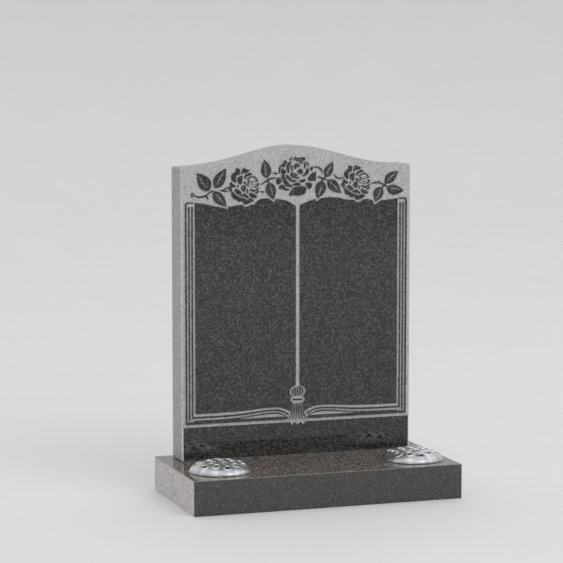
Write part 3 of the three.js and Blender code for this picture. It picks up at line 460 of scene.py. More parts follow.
def face_prism(outline, from_depth, to_depth):
    """Fills an outline drawn on the tablet's face and extrudes it through a span of depths."""
    deselect_all()
    bpy.ops.mesh.primitive_circle_add(vertices=len(outline), fill_type="NGON")
    prism = bpy.context.object
    for vertex, (x, z) in zip(prism.data.vertices, outline):
        vertex.co = (x * MM, TABLET_LOW.y + from_depth * MM, TABLET_LOW.z + z * MM)
    bpy.ops.object.mode_set(mode="EDIT")
    bpy.ops.mesh.select_all(action="SELECT")
    thickness = (to_depth - from_depth) * MM
    bpy.ops.mesh.extrude_region_move(TRANSFORM_OT_translate={"value": (0, thickness, 0)})
    bpy.ops.mesh.select_all(action="SELECT")
    bpy.ops.mesh.normals_make_consistent(inside=False)
    bpy.ops.object.mode_set(mode="OBJECT")
    return prism


def carved_prisms(outlines, depth):
    """Prisms that run a little past the face and the floor of the carving."""
    return [face_prism(points, -CUT_OVERRUN, depth + CUT_OVERRUN) for points in outlines]


def spline_point(route, t):
    """Point on a smooth curve through all the points of a route, t from 0 to 1."""
    place = t * (len(route) - 1)
    index = min(int(place), len(route) - 2)
    t = place - index
    around = [route[min(max(index + step, 0), len(route) - 1)] for step in (-1, 0, 1, 2)]
    point = []
    for before, start, end, after in zip(*around):
        leaving = (end - before) / 2
        arriving = (after - start) / 2
        cubic = (2 * start - 2 * end + leaving + arriving) * t ** 3
        square = (3 * end - 3 * start - 2 * leaving - arriving) * t ** 2
        point.append(cubic + square + leaving * t + start)
    return point


def ellipse_outline(x, z, half_width, half_height):
    """Round outline drawn on the face."""
    angles = [2 * math.pi * i / ROUND_SIDES for i in range(ROUND_SIDES)]
    return [(x + half_width * math.cos(a), z + half_height * math.sin(a)) for a in angles]


def sliver_outline(sliver):
    """Outline between two tips, with each edge swelling to its own bulge half way."""
    ax, az, bx, bz, first_bulge, second_bulge, bluntness = sliver
    length = math.hypot(bx - ax, bz - az)

    def along(i, bulge):
        t = (1 - math.cos(math.pi * i / SLIVER_STEPS)) / 2
        swell = bulge * (4 * t * (1 - t)) ** bluntness / length
        return ax + (bx - ax) * t - (bz - az) * swell, az + (bz - az) * t + (bx - ax) * swell

    low, high = sorted((first_bulge, second_bulge))
    there = [along(i, low) for i in range(SLIVER_STEPS)]
    back = [along(i, high) for i in range(SLIVER_STEPS, 0, -1)]
    return there + back


def rounded(outline):
    """The outline with its corners cut back, a little less each time."""
    near, far = 1 - PETAL_ROUNDING, PETAL_ROUNDING
    for _ in range(PETAL_ROUNDS):
        cut_back = []
        for (ax, az), (bx, bz) in zip(outline, outline[1:] + outline[:1]):
            cut_back.append((ax * near + bx * far, az * near + bz * far))
            cut_back.append((ax * far + bx * near, az * far + bz * near))
        outline = cut_back
    return outline


def swollen(outline, margin):
    """The outline with its edges pushed outwards."""
    ahead, behind = outline[1:] + outline[:1], outline[-1:] + outline[:-1]
    turning = sum(ax * bz - bx * az for (ax, az), (bx, bz) in zip(outline, ahead))
    side = math.copysign(margin, turning)
    points = []
    for (ax, az), (x, z), (bx, bz) in zip(behind, outline, ahead):
        scale = side / math.hypot(bx - ax, bz - az)
        points.append((x + (bz - az) * scale, z - (bx - ax) * scale))
    return points


def side_rose_at(outline, place):
    """An outline of the side rose, moved and sized to one of its places."""
    x, z, size = place
    middle_x, middle_z = SIDE_ROSE_MIDDLE
    return [(x + (px - middle_x) * size, z + (pz - middle_z) * size) for px, pz in outline]


def rose_outlines():
    """Polished faces of all three roses."""
    petals, lines = list(CENTRE_ROSE), []
    for place in SIDE_ROSE_PLACES:
        petals += [side_rose_at(petal, place) for petal in SIDE_ROSE]
        lines += [side_rose_at(route, place) for route in SIDE_ROSE_LINES]
    faces = [swollen(rounded(petal), PETAL_SWELL) for petal in petals]
    return faces + [stroke_outline(route, SIDE_ROSE_LINE_WIDTH) for route in lines]


def leaf_point(leaf, t, s):
    """Point on a leaf: t runs from foot to tip, s from -1 to 1 across the blade."""
    foot_x, foot_z, tip_x, tip_z, left, right = leaf
    length = math.hypot(tip_x - foot_x, tip_z - foot_z)
    half = left if s > 0 else right
    breadth = max(math.sin(math.pi * t ** LEAF["fullness"]), 0.0) ** LEAF["bluntness"]
    across = half * s * breadth / length
    x = foot_x + (tip_x - foot_x) * t - (tip_z - foot_z) * across
    z = foot_z + (tip_z - foot_z) * t + (tip_x - foot_x) * across
    return x, z


def leaf_outline(leaf):
    """Pointed oval of a leaf, with teeth that lean towards its tip."""
    tooth_steps = LEAF["tooth_steps"]
    steps = tooth_steps * LEAF["teeth"]

    def edge(i, side):
        rise = i % tooth_steps / (tooth_steps - 1) - 0.5
        return leaf_point(leaf, i / steps, side * (1 + LEAF["tooth"] * rise))

    return [edge(i, -1) for i in range(steps)] + [edge(i, 1) for i in range(steps, 0, -1)]


def leaf_veins(leaf):
    """Sunk midrib with side veins that lean towards the tip."""
    foot, head, bend = LEAF_RIB["foot"], LEAF_RIB["head"], LEAF_RIB["bend"]
    rib = [leaf_point(leaf, foot, 0), leaf_point(leaf, (foot + head) / 2, bend), leaf_point(leaf, head, 0)]
    veins = [stroke_outline(rib, LEAF_RIB["width"])]
    for i in range(LEAF_VEINS["count"]):
        t = foot + LEAF_VEINS["start"] + LEAF_VEINS["spacing"] * i
        for side in (-1, 1):
            end = leaf_point(leaf, t + LEAF_VEINS["lean"], LEAF_VEINS["reach"] * side)
            veins.append(stroke_outline([leaf_point(leaf, t, 0), end], LEAF_VEINS["width"]))
    return veins


def leaf_halo(leaf):
    """Outline of a leaf with a margin all round it."""
    foot_x, foot_z, tip_x, tip_z, left, right = leaf
    length = math.hypot(tip_x - foot_x, tip_z - foot_z)
    ux, uz = (tip_x - foot_x) / length * HALO, (tip_z - foot_z) / length * HALO
    tip = (tip_x + LEAF["tip_margin"] * ux, tip_z + LEAF["tip_margin"] * uz)
    return leaf_outline((foot_x - ux, foot_z - uz, *tip, left + HALO, right + HALO))


def stroke_outline(route, width):
    """A stroke along a route that narrows at both ends."""
    left, right = [], []
    nudge = 0.5 / STEM_STEPS
    for i in range(STEM_STEPS + 1):
        t = i / STEM_STEPS
        x, z = spline_point(route, t)
        ax, az = spline_point(route, max(t - nudge, 0))
        bx, bz = spline_point(route, min(t + nudge, 1))
        half = width / 2 * (STEM_TAPER + (1 - STEM_TAPER) * math.sin(math.pi * t))
        scale = half / math.hypot(bx - ax, bz - az)
        left.append((x - (bz - az) * scale, z + (bx - ax) * scale))
        right.append((x + (bz - az) * scale, z - (bx - ax) * scale))
    return right + left[::-1]


def wave(x):
    """Swell of the page ends along the foot of the book."""
    if x > WAVE["crest"]:
        return math.exp(-((x - WAVE["crest"]) / WAVE["spread"]) ** 2)
    return 1 - WAVE["drop"] * ((WAVE["crest"] - x) / WAVE["fall"]) ** WAVE["power"]


def foot_line(from_x, to_x, height, lift):
    """Points along the foot of the book, from near the spine outwards, closer together at the swell."""
    points = []
    for i in range(LINE_STEPS + 1):
        x = from_x + (to_x - from_x) * (i / LINE_STEPS) ** LINE_CROWDING
        points.append((x, height + lift * wave(x)))
    return points


def mirrored(outline, side):
    """The outline on the right page's side, or turned over to the left."""
    return outline if side > 0 else [(-x, z) for x, z in reversed(outline)]


def page_outline(head_points):
    """One page, from its waved foot up to its head."""
    foot = foot_line(SPINE_HALF_WIDTH, PAGE_EDGE, PAGE_FOOT, WAVE_LIFT["page"])
    foot[0] = (SPINE_HALF_WIDTH, PAGE_FOOT)
    head = [tuple(spline_point(head_points, i / (2 * LINE_STEPS))) for i in range(2 * LINE_STEPS + 1)]
    return foot + head


def page_line_outline():
    """Raised line beside and under a page."""
    inner, outer, foot, head = (PAGE_LINE[key] for key in ("inner", "outer", "foot", "head"))
    lower = foot_line(SKIRT["hem_half"], outer, foot, WAVE_LIFT["line_foot"])
    upper = foot_line(SKIRT["hem_half"], inner, foot + PAGE_LINE["thickness"], WAVE_LIFT["line_top"])
    return [*lower, (outer, head), (inner, head), *reversed(upper)]


def corner_points(x, z, radius):
    """Quarter round that ends in a corner's two sides."""
    points = []
    for i in range(COVER_CORNER["steps"] + 1):
        angle = math.pi / 2 * i / COVER_CORNER["steps"]
        points.append((x - radius + radius * math.cos(angle), z - radius + radius * math.sin(angle)))
    return points


def cover_outline():
    """Cover: the band under the pages, its inner line and its edge with the short return at the top."""
    outer, head = COVER["outer"], COVER["head"]
    under_return = head - COVER["thickness"]
    line = COVER_INNER_LINE
    shelf = foot_line(SKIRT["hem_half"], line["inner"], COVER["shelf"], WAVE_LIFT["shelf"])
    return [
        (SKIRT["hem_half"], COVER["foot"]), (outer, COVER["foot"]),
        *corner_points(outer, head, COVER_CORNER["radius"]),
        (COVER["return_end"], head), (COVER["return_end"], under_return),
        *reversed(corner_points(COVER["inner"], under_return, COVER_CORNER["radius"] / 2)),
        (COVER["inner"], CORNER_GROOVE["foot"]), (CORNER_GROOVE["end"], CORNER_GROOVE["foot"]),
        (CORNER_GROOVE["end"], CORNER_GROOVE["head"]), (line["outer"], CORNER_GROOVE["head"]),
        (line["outer"], line["head"]), (line["inner"], line["head"]), *reversed(shelf),
    ]


def page_groove_outline():
    """Thin sunk wedge between the page ends and the cover."""
    end, tip, foot = PAGE_GROOVE["end"], PAGE_GROOVE["tip"], PAGE_GROOVE["foot"]
    lower = foot_line(end, tip, foot, WAVE_LIFT["groove_foot"])
    upper = foot_line(end, tip, foot + PAGE_GROOVE["tip_thickness"], WAVE_LIFT["groove_top"])
    upper[0] = (end, foot + PAGE_GROOVE["end_thickness"])
    return lower + upper[::-1]


def tassel_ground_outlines():
    """Ground that is sunk under the tassel: knob, collar and skirt with its pointed hem."""
    hem_line = []
    for i in range(HEM["points"]):
        x = (i - (HEM["points"] - 1) / 2) * HEM["pitch"]
        if i > 0:
            hem_line.append((x - HEM["pitch"] / 2, HEM["notch_height"]))
        hem_line.append((x, HEM["point_height"]))
    hem_half, head_half = SKIRT["hem_half"], SKIRT["head_half"]
    skirt = [(-hem_half, SKIRT["hem"]), *hem_line, (hem_half, SKIRT["hem"])]
    skirt += [*reversed(SKIRT_FLARE), (head_half, SKIRT["head"]), (-head_half, SKIRT["head"])]
    skirt += [(-x, z) for x, z in SKIRT_FLARE]
    half, bend = COLLAR["half_width"], COLLAR["round"]
    right_edge = [
        (head_half, COLLAR["foot"]), (half, COLLAR["foot"] + bend),
        (half, COLLAR["head"] - bend), (head_half, COLLAR["head"] + bend),
    ]
    collar = right_edge + [(-x, z) for x, z in reversed(right_edge)]
    knob = ellipse_outline(0, KNOB["height"], KNOB["half_width"], KNOB["half_height"])
    return [skirt, collar, knob]


def gore_outline(step):
    """Polished gore of the knob, counted from the middle one."""
    x = step * GORE["pitch"] * GORE["gather"]
    bulge = -step * GORE["pitch"] * (1 - GORE["gather"])
    low, high = KNOB["height"] - GORE["half_height"], KNOB["height"] + GORE["half_height"]
    half = GORE["half_width"]
    return sliver_outline((x, low, x, high, bulge + half, bulge - half, GORE["bluntness"]))


def strand_outline(step):
    """Polished strand of the skirt, counted from its middle, spreading towards the hem."""
    return stroke_outline([(step * pitch, height) for pitch, height in STRAND_WAY], STRAND["width"])


def tassel_outlines():
    """Everything that stays polished on the tassel."""
    half, foot, head = COLLAR_SLOT["half_width"], COLLAR_SLOT["foot"], COLLAR_SLOT["head"]
    outlines = [[(-half, foot), (half, foot), (half, head), (-half, head)]]
    outlines += [gore_outline(i - (GORE["count"] - 1) / 2) for i in range(GORE["count"])]
    outlines += [strand_outline(i - (STRAND["count"] - 1) / 2) for i in range(STRAND["count"])]
    return outlines


def tablet_outline():
    """Front of the slab, with the ogee top."""
    half, height = TABLET_HALF, TABLET_HEIGHT
    shoulder = half - OGEE_SHOULDER_HANDLE
    handles = [(half, SHOULDER_HEIGHT), (shoulder, SHOULDER_HEIGHT)]
    handles += [(OGEE_CROWN_HANDLE, height), (0, height)]
    rise = [tuple(point) for point in interpolate_bezier(*map(Vector, handles), OGEE_STEPS)]
    fall = [(-x, z) for x, z in reversed(rise[:-1])]
    return [(-half, 0), (half, 0), *rise, *fall]


def book_prisms(depth):
    """The book's raised faces, cut back where the flowers and the tassel lie over them."""
    raised, sunk = [], []
    for side, head in PAGE_HEADS.items():
        outlines = (page_outline(head), page_line_outline(), cover_outline())
        raised += [mirrored(outline, side) for outline in outlines]
        sunk.append(mirrored(page_groove_outline(), side))
    sunk += [rounded(side_rose_at(SIDE_ROSE_MARGIN, place)) for place in SIDE_ROSE_PLACES]
    sunk += [leaf_halo(leaf) for leaf in LEAVES_OVER_PAGES] + tassel_ground_outlines()
    return cut(joined(carved_prisms(raised, depth)), joined(carved_prisms(sunk, depth)))


def leaf_prisms(depth):
    """All the leaves, with their veins sunk, and the ring at the end of a stem."""
    leaves = LEAVES_ABOVE + LEAVES_OVER_PAGES
    ring = [STEM_RING[key] for key in ("x", "z", "half_width", "half_height")]
    bore = ring[:2] + [size * STEM_RING["bore"] for size in ring[2:]]
    raised = [leaf_outline(leaf) for leaf in leaves] + [ellipse_outline(*ring)]
    sunk = [vein for leaf in leaves for vein in leaf_veins(leaf)] + [ellipse_outline(*bore)]
    return cut(joined(carved_prisms(raised, depth)), joined(carved_prisms(sunk, depth)))


def chamfer_upright_edges(slab, width):
    """Chamfers the slab's four upright edges."""
    activate(slab)
    bpy.ops.object.mode_set(mode="EDIT")
    bpy.ops.mesh.select_all(action="DESELECT")
    bpy.ops.object.mode_set(mode="OBJECT")
    half = TABLET_HALF * MM
    for edge in slab.data.edges:
        a, b = (slab.data.vertices[i].co for i in edge.vertices)
        outermost = all(abs(abs(v.x) - half) < MM / 10 for v in (a, b))
        edge.select = outermost and abs(a.y - b.y) < MM / 10 and abs(a.z - b.z) > MM
    bpy.ops.object.mode_set(mode="EDIT")
    bpy.ops.mesh.select_mode(type="EDGE")
    bpy.ops.mesh.bevel(offset=width, segments=1, affect="EDGES", clamp_overlap=False)
    bpy.ops.object.mode_set(mode="OBJECT")


def tidy_mesh(piece):
    """Merges the doubles that cutting leaves, and makes the faces point outwards."""
    activate(piece)
    bpy.ops.object.mode_set(mode="EDIT")
    bpy.ops.mesh.select_all(action="SELECT")
    bpy.ops.mesh.remove_doubles(threshold=MM / 1000)
    bpy.ops.mesh.normals_make_consistent(inside=False)
    bpy.ops.object.mode_set(mode="OBJECT")


def divide_faces(piece):
    """Divides the long hollow-edged faces that cutting leaves, so that each of them fills cleanly."""
    activate(piece)
    bpy.ops.object.mode_set(mode="EDIT")
    size = TABLET_HIGH - TABLET_LOW
    for axis, normal in ((0, (1, 0, 0)), (2, (0, 0, 1))):
        for i in range(1, round(size[axis] / FACE_GRID)):
            place = Vector(TABLET_LOW)
            place[axis] += (i + FACE_GRID_SHIFT) * FACE_GRID
            bpy.ops.mesh.select_all(action="SELECT")
            bpy.ops.mesh.bisect(plane_co=place, plane_no=normal, threshold=MM / 10000)
    bpy.ops.object.mode_set(mode="OBJECT")


def finish_piece(piece, name, node, finishes, finish_of):
    """Names a piece, gives each face its finish, and sets the piece in place of its solid."""
    piece.name = name
    piece.data.name = name
    piece.data.materials.clear()
    for finish in finishes:
        piece.data.materials.append(finish)
    for face in piece.data.polygons:
        face.material_index = finish_of(face)
    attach(piece, "root")
    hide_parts(node)
    return piece


def build_tablet(sizes, finishes):
    """The slab with its sunk field and everything that stands polished in it."""
    depth = sizes.field_depth / MM
    band = sizes.band_height / MM
    slab = face_prism(tablet_outline(), 0, TABLET_THICKNESS)
    chamfer_upright_edges(slab, sizes.tablet_chamfer)
    petals = rose_outlines() + [sliver_outline(sepal) for sepal in SEPALS]
    stems = [stroke_outline(route, STEM_WIDTH) for route in STEMS]
    flowers = carved_prisms(petals + stems + tassel_outlines(), depth)
    raised = [book_prisms(depth), leaf_prisms(depth), *flowers]
    reach = 2 * TABLET_HALF
    field = [(-reach, band), (reach, band), (reach, TABLET_HEIGHT + reach), (-reach, TABLET_HEIGHT + reach)]
    sunk = [face_prism(outline, -2 * CUT_OVERRUN, depth) for outline in [field] + tassel_ground_outlines()]
    cut(slab, cut(joined(sunk), joined(raised)))
    tidy_mesh(slab)
    divide_faces(slab)
    polished, blasted, sawn, arris = range(4)

    def finish_of(face):
        sunk_by = face.center.y - TABLET_LOW.y
        if face.normal.y < -FACING:
            return polished if sunk_by < sizes.field_depth / 2 else blasted
        if sunk_by < sizes.field_depth and abs(face.normal.y) < SLANTED:
            return blasted
        slanted = min(abs(face.normal.x), abs(face.normal.y)) > SLANTED
        return arris if slanted else sawn

    order = [finishes[key] for key in ("polished", "blasted", "sawn", "arris")]
    return finish_piece(slab, "carved_tablet", "tablet", order, finish_of)


def build_base(sizes, finishes):
    """The base block: arris on its upper edges, a well under each lid, and a chip in one end."""
    deselect_all()
    bpy.ops.mesh.primitive_cube_add(size=1, location=(BASE_LOW + BASE_HIGH) / 2, scale=BASE_HIGH - BASE_LOW)
    block = bpy.context.object
    bpy.ops.object.transform_apply(location=True, rotation=True, scale=True)
    bpy.ops.object.mode_set(mode="EDIT")
    bpy.ops.mesh.select_all(action="DESELECT")
    bpy.ops.object.mode_set(mode="OBJECT")
    for edge in block.data.edges:
        edge.select = all(block.data.vertices[i].co.z > BASE_HIGH.z - MM for i in edge.vertices)
    bpy.ops.object.mode_set(mode="EDIT")
    bpy.ops.mesh.select_mode(type="EDGE")
    bpy.ops.mesh.bevel(offset=sizes.base_arris, segments=2, profile=0.5, affect="EDGES")
    bpy.ops.object.mode_set(mode="OBJECT")
    for low, high in LID_BOXES.values():
        middle = (low + high) / 2
        deselect_all()
        height = sizes.well_depth + 2 * MM
        bpy.ops.mesh.primitive_cylinder_add(
            vertices=WELL_SIDES, radius=sizes.well_radius, depth=height,
            location=(middle.x, middle.y, BASE_HIGH.z - sizes.well_depth + height / 2))
        cut(block, bpy.context.object)
    deselect_all()
    bpy.ops.mesh.primitive_ico_sphere_add(subdivisions=3, radius=END_PIT_RADIUS, location=END_PIT)
    cut(block, bpy.context.object)
    tidy_mesh(block)
    front, top, sawn, arris = range(4)

    def finish_of(face):
        if face.normal.y < -FACING and face.center.y < BASE_LOW.y + MM / 2:
            return front
        if face.normal.z > FACING and face.center.z > BASE_HIGH.z - MM / 2:
            return top
        at_arris = face.center.z > BASE_HIGH.z - sizes.base_arris and 1 - FACING < face.normal.z < FACING
        return arris if at_arris else sawn

    order = [finishes[key] for key in ("base_front", "base_top", "base_sawn", "base_arris")]
    return finish_piece(block, "base_block", "base", order, finish_of)


def grow_ring(place_of):
    """Extrudes the selected loop, and moves each new vertex to its place."""
    bpy.ops.mesh.extrude_region_move()
    bpy.ops.object.mode_set(mode="OBJECT")
    for vertex in bpy.context.object.data.vertices:
        if vertex.select:
            vertex.co = place_of(vertex.co)
    bpy.ops.object.mode_set(mode="EDIT")


def at_radius(co, radius, height):
    """The point at that distance from the axis, in the same direction, at that height."""
    return (co.to_2d().normalized() * radius).to_3d() + Vector((0, 0, height))


def hole_cell(pitch):
    """One hexagon of a lid: a round hole with a raised rim, out to the cell's straight edges."""
    deselect_all()
    first_radius, first_lift = HOLE_RIM[0]
    bpy.ops.mesh.primitive_circle_add(
        vertices=HOLE_SIDES, radius=first_radius, location=(0, 0, first_lift), fill_type="NOTHING")
    bpy.ops.object.transform_apply(location=True, rotation=True, scale=True)
    cell = bpy.context.object
    bpy.ops.object.mode_set(mode="EDIT")
    bpy.ops.mesh.select_all(action="SELECT")
    for radius, lift in HOLE_RIM[1:]:
        grow_ring(lambda co: at_radius(co, radius, lift))

    def on_hexagon(co):
        turn = math.atan2(co.y, co.x) % (math.pi / 3) - math.pi / 6
        return at_radius(co, pitch / 2 / math.cos(turn), 0)

    grow_ring(on_hexagon)
    bpy.ops.object.mode_set(mode="OBJECT")
    return cell


def hole_places(pitch):
    """Middles of the stem holes, on a triangular grid of rings round the central one."""
    places = []
    for i in range(-HOLE_RINGS, HOLE_RINGS + 1):
        for j in range(-HOLE_RINGS, HOLE_RINGS + 1):
            if abs(i + j) <= HOLE_RINGS:
                places.append(Vector((pitch * i * math.sin(math.pi / 3), pitch * (j + i / 2), 0)))
    return places


def pierced_sheet(pitch):
    """Flat sheet of hexagons, one round each stem hole."""
    cell = hole_cell(pitch)
    cells = []
    for place in hole_places(pitch):
        activate(cell)
        bpy.ops.object.duplicate()
        bpy.ops.transform.translate(value=place)
        bpy.ops.object.transform_apply(location=True, rotation=True, scale=True)
        cells.append(bpy.context.object)
    bpy.data.objects.remove(cell)
    sheet = joined(cells)
    bpy.ops.object.mode_set(mode="EDIT")
    bpy.ops.mesh.select_all(action="SELECT")
    bpy.ops.mesh.remove_doubles(threshold=MM / 100)
    bpy.ops.object.mode_set(mode="OBJECT")
    return sheet


def select_outer_loop(sheet, pitch):
    """Selects the sheet's jagged outer edge, and not the rims of its holes."""
    bpy.ops.object.mode_set(mode="EDIT")
    bpy.ops.mesh.select_mode(type="VERT")
    bpy.ops.mesh.select_all(action="DESELECT")
    bpy.ops.mesh.select_non_manifold(extend=False)
    bpy.ops.object.mode_set(mode="OBJECT")
    middles = [place.to_2d() for place in hole_places(pitch)]
    rim = (HOLE_RIM[0][0] + pitch / 2) / 2
    for vertex in sheet.data.vertices:
        if vertex.select and any((vertex.co.to_2d() - middle).length < rim for middle in middles):
            vertex.select = False
    for edge in sheet.data.edges:
        edge.select = edge.select and all(sheet.data.vertices[i].select for i in edge.vertices)
    bpy.ops.object.mode_set(mode="EDIT")
    bpy.ops.mesh.select_mode(type="EDGE")


def mark_spin(lid):
    """Stores how far each point is from the lid's axis, for the spinning marks, and in which direction, for
    the painted reflection streaks.
    """
    lid.data.attributes.new(SPIN, "FLOAT", "POINT")
    lid.data.attributes.new(SPIN_WAY, "FLOAT_VECTOR", "POINT")
    radii, ways = (lid.data.attributes[name].data for name in (SPIN, SPIN_WAY))
    for vertex, radius, way in zip(lid.data.vertices, radii, ways):
        flat = vertex.co.to_2d()
        radius.value = flat.length
        way.vector = flat.normalized().to_3d()


def build_lid(sizes):
    """Thin spun dome with raised rims round its holes and a narrow flange at its foot."""
    sheet = pierced_sheet(sizes.hole_pitch)
    dome_radius, dome_foot = LID_FLANGE[0]
    rise = LID_HEIGHT - max(lift for _, lift in HOLE_RIM) - dome_foot

    def dome(radius):
        share = min(radius / dome_radius, 1.0)
        return dome_foot + rise * (1 - share ** 2) ** sizes.dome_fullness

    for vertex in sheet.data.vertices:
        vertex.co.z += dome(vertex.co.to_2d().length)
    select_outer_loop(sheet, sizes.hole_pitch)
    gaps = [1 - math.sin(math.pi / 2 * i / LID_SKIRT_STEPS) for i in range(LID_SKIRT_STEPS + 1)]
    for gap, next_gap in zip(gaps, gaps[1:]):

        def outwards(co):
            radius = dome_radius - (dome_radius - co.to_2d().length) * next_gap / gap
            return at_radius(co, radius, dome(radius))

        grow_ring(outwards)
    for radius, height in LID_FLANGE[1:]:
        grow_ring(lambda co: at_radius(co, radius, height))
    bpy.ops.mesh.select_all(action="SELECT")
    bpy.ops.mesh.normals_make_consistent(inside=False)
    bpy.ops.object.mode_set(mode="OBJECT")
    upwards = sum(face.normal.z * face.area for face in sheet.data.polygons)
    if upwards < 0:
        bpy.ops.object.mode_set(mode="EDIT")
        bpy.ops.mesh.flip_normals()
        bpy.ops.object.mode_set(mode="OBJECT")
    wall = sheet.modifiers.new("wall", "SOLIDIFY")
    wall.thickness = sizes.lid_wall
    wall.offset = -1
    wall.use_even_offset = True
    bpy.ops.object.modifier_apply(modifier=wall.name)
    bpy.ops.object.shade_smooth_by_angle(angle=math.radians(SMOOTH_ANGLE))
    mark_spin(sheet)
    return sheet


def build_lids(sizes, metal):
    """Both lids, each over its well."""
    first = build_lid(sizes)
    for node, (low, high) in LID_BOXES.items():
        activate(first)
        bpy.ops.object.duplicate()
        bpy.ops.transform.translate(value=((low.x + high.x) / 2, (low.y + high.y) / 2, low.z))
        bpy.ops.object.transform_apply(location=True, rotation=True, scale=True)
        name = node.replace("flower_lid", "pierced_lid")
        finish_piece(bpy.context.object, name, node, [metal], lambda face: 0)
    bpy.data.objects.remove(first)


def add_node(tree, kind, inputs=None, **settings):
    """Adds a node, sets it up, and links or fills its inputs."""
    node = tree.nodes.new(kind)
    for key, value in settings.items():
        setattr(node, key, value)
    for key, value in (inputs or {}).items():
        if isinstance(value, bpy.types.NodeSocket):
            tree.links.new(value, node.inputs[key])
        else:
            node.inputs[key].default_value = value
    return node


def math_of(tree, operation, first, second):
    """Result of one sum on two values."""
    return add_node(tree, "ShaderNodeMath", {0: first, 1: second}, operation=operation).outputs[0]


def spread(tree, value, given, wanted):
    """A value taken from one range to another, held at its ends."""
    inputs = {"Value": value, "From Min": given[0], "From Max": given[1]}
    inputs |= {"To Min": wanted[0], "To Max": wanted[1]}
    return add_node(tree, "ShaderNodeMapRange", inputs).outputs["Result"]


def mixed(tree, factor, first, second, blend_type="MIX"):
    """Two colours laid over each other."""
    inputs = {"Factor": factor, 6: first, 7: second}
    return add_node(tree, "ShaderNodeMix", inputs, data_type="RGBA", blend_type=blend_type).outputs[2]


def tone_ramp(tree, value, colour, tones):
    """Tones of one colour along a value: pairs of place and brightness."""
    ramp = add_node(tree, "ShaderNodeValToRGB", {"Fac": value})
    elements = ramp.color_ramp.elements
    while len(elements) < len(tones):
        elements.new(0.5)
    for element, (place, brightness) in zip(elements, tones):
        element.position = place
        element.color = (*(channel * brightness for channel in colour), 1)
    return ramp.outputs["Color"]


def granite_group():
    """Grain that every granite finish shares: mineral by grain, pale flecks, soft clouds and fine pits."""
    name = "Granite grain"
    if name in bpy.data.node_groups:
        return bpy.data.node_groups[name]
    group = bpy.data.node_groups.new(name, "ShaderNodeTree")
    group.interface.new_socket(name="Vector", in_out="INPUT", socket_type="NodeSocketVector")
    group.interface.new_socket(name="Grain", in_out="INPUT", socket_type="NodeSocketFloat")
    for output in ("Mineral", "Fleck", "Cloud", "Pits"):
        group.interface.new_socket(name=output, in_out="OUTPUT", socket_type="NodeSocketFloat")
    given = group.nodes.new("NodeGroupInput")
    result = group.nodes.new("NodeGroupOutput")
    per_metre = math_of(group, "DIVIDE", 1.0, given.outputs["Grain"])
    inputs = {0: given.outputs["Vector"], "Scale": per_metre}
    grains = add_node(group, "ShaderNodeVectorMath", inputs, operation="SCALE").outputs[0]
    inputs = {"Vector": grains, "Scale": GRAIN_WANDER["scale"], "Detail": 2.0}
    wander = add_node(group, "ShaderNodeTexNoise", inputs)
    inputs = {0: wander.outputs["Color"], 1: [GRAIN_WANDER["reach"]] * 3, 2: grains}
    bent = add_node(group, "ShaderNodeVectorMath", inputs, operation="MULTIPLY_ADD").outputs[0]
    cells = add_node(group, "ShaderNodeTexVoronoi", {"Vector": bent, "Scale": 1.0})
    mineral = add_node(group, "ShaderNodeSeparateColor", {"Color": cells.outputs["Color"]})
    coarse = add_node(group, "ShaderNodeTexVoronoi", {"Vector": bent, "Scale": FLECK["scale"]})
    fleck = add_node(group, "ShaderNodeSeparateColor", {"Color": coarse.outputs["Color"]})
    inputs = {"Vector": given.outputs["Vector"], "Scale": CLOUD["scale"], "Detail": 3.0}
    cloud = add_node(group, "ShaderNodeTexNoise", inputs)
    inputs = {"Vector": grains, "Scale": PITS["scale"], "Detail": 3.0, "Roughness": 0.6}
    pits = add_node(group, "ShaderNodeTexNoise", inputs)
    group.links.new(mineral.outputs["Red"], result.inputs["Mineral"])
    group.links.new(spread(group, fleck.outputs["Green"], FLECK["range"], UNIT), result.inputs["Fleck"])
    group.links.new(spread(group, cloud.outputs["Fac"], CLOUD["range"], UNIT), result.inputs["Cloud"])
    group.links.new(pits.outputs["Fac"], result.inputs["Pits"])
    return group


def new_material(name):
    """A material with a bare Principled shader, and its node tree and shader."""
    material = bpy.data.materials.new(name)
    material.use_nodes = True
    tree = material.node_tree
    tree.nodes.clear()
    shader = tree.nodes.new("ShaderNodeBsdfPrincipled")
    output = tree.nodes.new("ShaderNodeOutputMaterial")
    tree.links.new(shader.outputs["BSDF"], output.inputs["Surface"])
    return material, tree, shader


def granite_nodes(tree, grain_size):
    """The shared grain, placed on the piece's own coordinates."""
    place = add_node(tree, "ShaderNodeTexCoord").outputs["Object"]
    inputs = {"Vector": place, "Grain": grain_size}
    return add_node(tree, "ShaderNodeGroup", inputs, node_tree=granite_group()).outputs


def polished_granite(name, colour, grain_size, tones, fleck):
    """Dark polished stone: black, grey and pale grains under an even gloss, with faint warm clouds."""
    material, tree, shader = new_material(name)
    grain = granite_nodes(tree, grain_size)
    tone = tone_ramp(tree, grain["Mineral"], colour, tones)
    pale = (*(FLECK["brightness"] * channel for channel in colour), 1)
    tone = mixed(tree, math_of(tree, "MULTIPLY", grain["Fleck"], fleck), tone, pale)
    warm = math_of(tree, "MULTIPLY", grain["Cloud"], WARM_CLOUD["share"])
    tone = mixed(tree, warm, tone, WARM_CLOUD["tint"], "MULTIPLY")
    tree.links.new(tone, shader.inputs["Base Color"])
    tree.links.new(spread(tree, grain["Mineral"], UNIT, POLISH_ROUGHNESS), shader.inputs["Roughness"])
    return material


